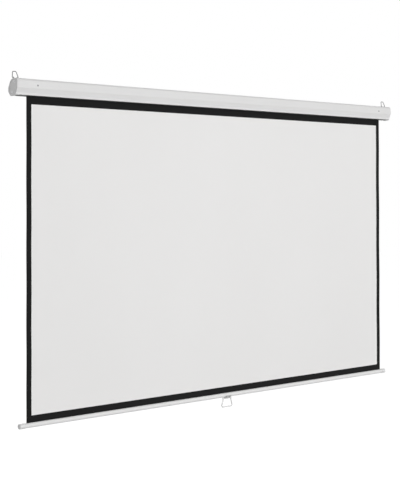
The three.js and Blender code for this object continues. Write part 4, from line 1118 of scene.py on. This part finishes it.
dressed("bar_extrusion", bar_tube(), "bottom_bar", "bottom_bar", bevel=METAL_EDGE)
hem_cloth = dressed("hem_loop", hem(), "bottom_bar", "screen_hem")
dressed("left_bar_end", bar_cap(-1), "bottom_bar", "left_bar_cap")
dressed("right_bar_end", bar_cap(1), "bottom_bar", "right_bar_cap")
dressed("handle_clip", clip(), "bottom_bar", "handle_bracket", bevel=CLIP_EDGE)
dressed("clip_pin", headed_pin(), "bottom_bar", "handle_pin")
dressed("pull_handle", handle_rod(), "handle", "handle")
for word in ("left", "right"):
    middle = centre_of(f"{word}_bracket_rivet")
    outwards = np.array([0, -math.sin(CLIP_RIVET_LEAN), -math.cos(CLIP_RIVET_LEAN)])
    seat = np.array([middle.x, BAR_Y, BAR_Z]) + (BAR_RADIUS + GAP + CLIP_WALL) * outwards
    rivet = blind_rivet(seat, outwards, **CLIP_RIVET)
    dressed(f"{word}_clip_rivet", rivet, "bottom_bar", f"{word}_bracket_rivet")

leader_length = length_of(leader_line(0))


# Room, light and camera

FLOOR_Z = -2.35
FLOOR_HALF = 30
FLOOR_LEVEL = 0.45
FLOOR_LIFT = 0.9
AMBIENT = 0.22
WHITE = grey(1)
LAMP_AIM = (0, 0, -0.7)
KEY_PLACE = (1.2, -8.5, 0.3)
KEY_SIZE = 4.0
KEY_POWER = 465
FILL_PLACE = (-7.0, -2.5, 1.0)
FILL_SIZE = 2.5
FILL_POWER = 100
BACK_PLACE = (-2.0, 8.0, 2.0)
BACK_SIZE = 4.0
BACK_POWER = 200


def seen_rays(shader):
    """1 for the rays that the camera, a mirror or clear glass sees, and 0 for the light on the object."""
    path = shader.tree.nodes.new("ShaderNodeLightPath")
    keys = ("Is Camera Ray", "Is Glossy Ray", "Is Transmission Ray")
    seen, glossy, passed = [Value(shader, path.outputs[key]) for key in keys]
    return (seen + glossy + passed).at_most(1.0)


def floor():
    """A plain pale floor that keeps shadows. The camera also sees a glow on it, which lifts it to the
    background's white."""
    half = FLOOR_HALF
    corners = [(-half, -half, FLOOR_Z), (half, -half, FLOOR_Z), (half, half, FLOOR_Z), (-half, half, FLOOR_Z)]
    mesh = bpy.data.meshes.new("floor")
    mesh.from_pydata(corners, [], [[0, 1, 2, 3]])
    material, shader = new_material("pale_floor")
    matt = shader.node("ShaderNodeBsdfDiffuse", None, {"Color": grey(FLOOR_LEVEL)})
    glow = shader.node("ShaderNodeEmission", None, {"Color": WHITE, "Strength": FLOOR_LIFT})
    lifted = shader.node("ShaderNodeAddShader", None, {0: matt, 1: glow})
    shader.show(shader.node("ShaderNodeMixShader", None, {0: seen_rays(shader), 1: matt, 2: lifted}))
    mesh.materials.append(material)
    added("floor", mesh)


def surroundings():
    """White where the camera or a gloss sees it, and an even pale light on everything else."""
    world = bpy.data.worlds.new("studio")
    bpy.context.scene.world = world
    world.use_nodes = True
    shader = Shader(world.node_tree)
    even = shader.node("ShaderNodeBackground", None, {"Color": WHITE, "Strength": AMBIENT})
    white = shader.node("ShaderNodeBackground", None, {"Color": WHITE, "Strength": 1.0})
    mixed = shader.node("ShaderNodeMixShader", None, {0: seen_rays(shader), 1: even, 2: white})
    shader.show(mixed, "ShaderNodeOutputWorld")


def soft_lamp(name, place, size, power):
    """One large square lamp that faces the middle of the screen."""
    data = bpy.data.lights.new(name, "AREA")
    data.shape = "SQUARE"
    data.size = size
    data.energy = power
    made = added(name, data)
    made.location = place
    made.rotation_euler = (Vector(LAMP_AIM) - Vector(place)).to_track_quat("-Z", "Y").to_euler()


def camera():
    """The photograph's view: a long lens at 44 degrees to the screen, with the frame shifted down from
    the horizon."""
    data = bpy.data.cameras.new("camera")
    data.sensor_width = SENSOR
    data.lens = FOCAL_PIXELS / FRAME_LONG_SIDE * SENSOR
    data.shift_y = (HORIZON_Y - FRAME_CENTRE_Y) / FRAME_LONG_SIDE
    made = added("camera", data)
    turn = Matrix.Rotation(CAMERA_YAW, 4, "Z") @ Matrix.Rotation(math.pi / 2 + CAMERA_PITCH, 4, "X")
    place = Matrix.Translation((CAMERA_X, WALL_Y - CAMERA_TO_WALL, CASE_TOP - CAMERA_BELOW_TOP))
    made.matrix_world = place @ turn @ Matrix.Rotation(CAMERA_ROLL, 4, "Z")
    bpy.context.scene.camera = made


floor()
surroundings()
soft_lamp("key", KEY_PLACE, KEY_SIZE, KEY_POWER)
soft_lamp("fill", FILL_PLACE, FILL_SIZE, FILL_POWER)
soft_lamp("back", BACK_PLACE, BACK_SIZE, BACK_POWER)
camera()
bpy.context.scene.view_settings.view_transform = "Standard"
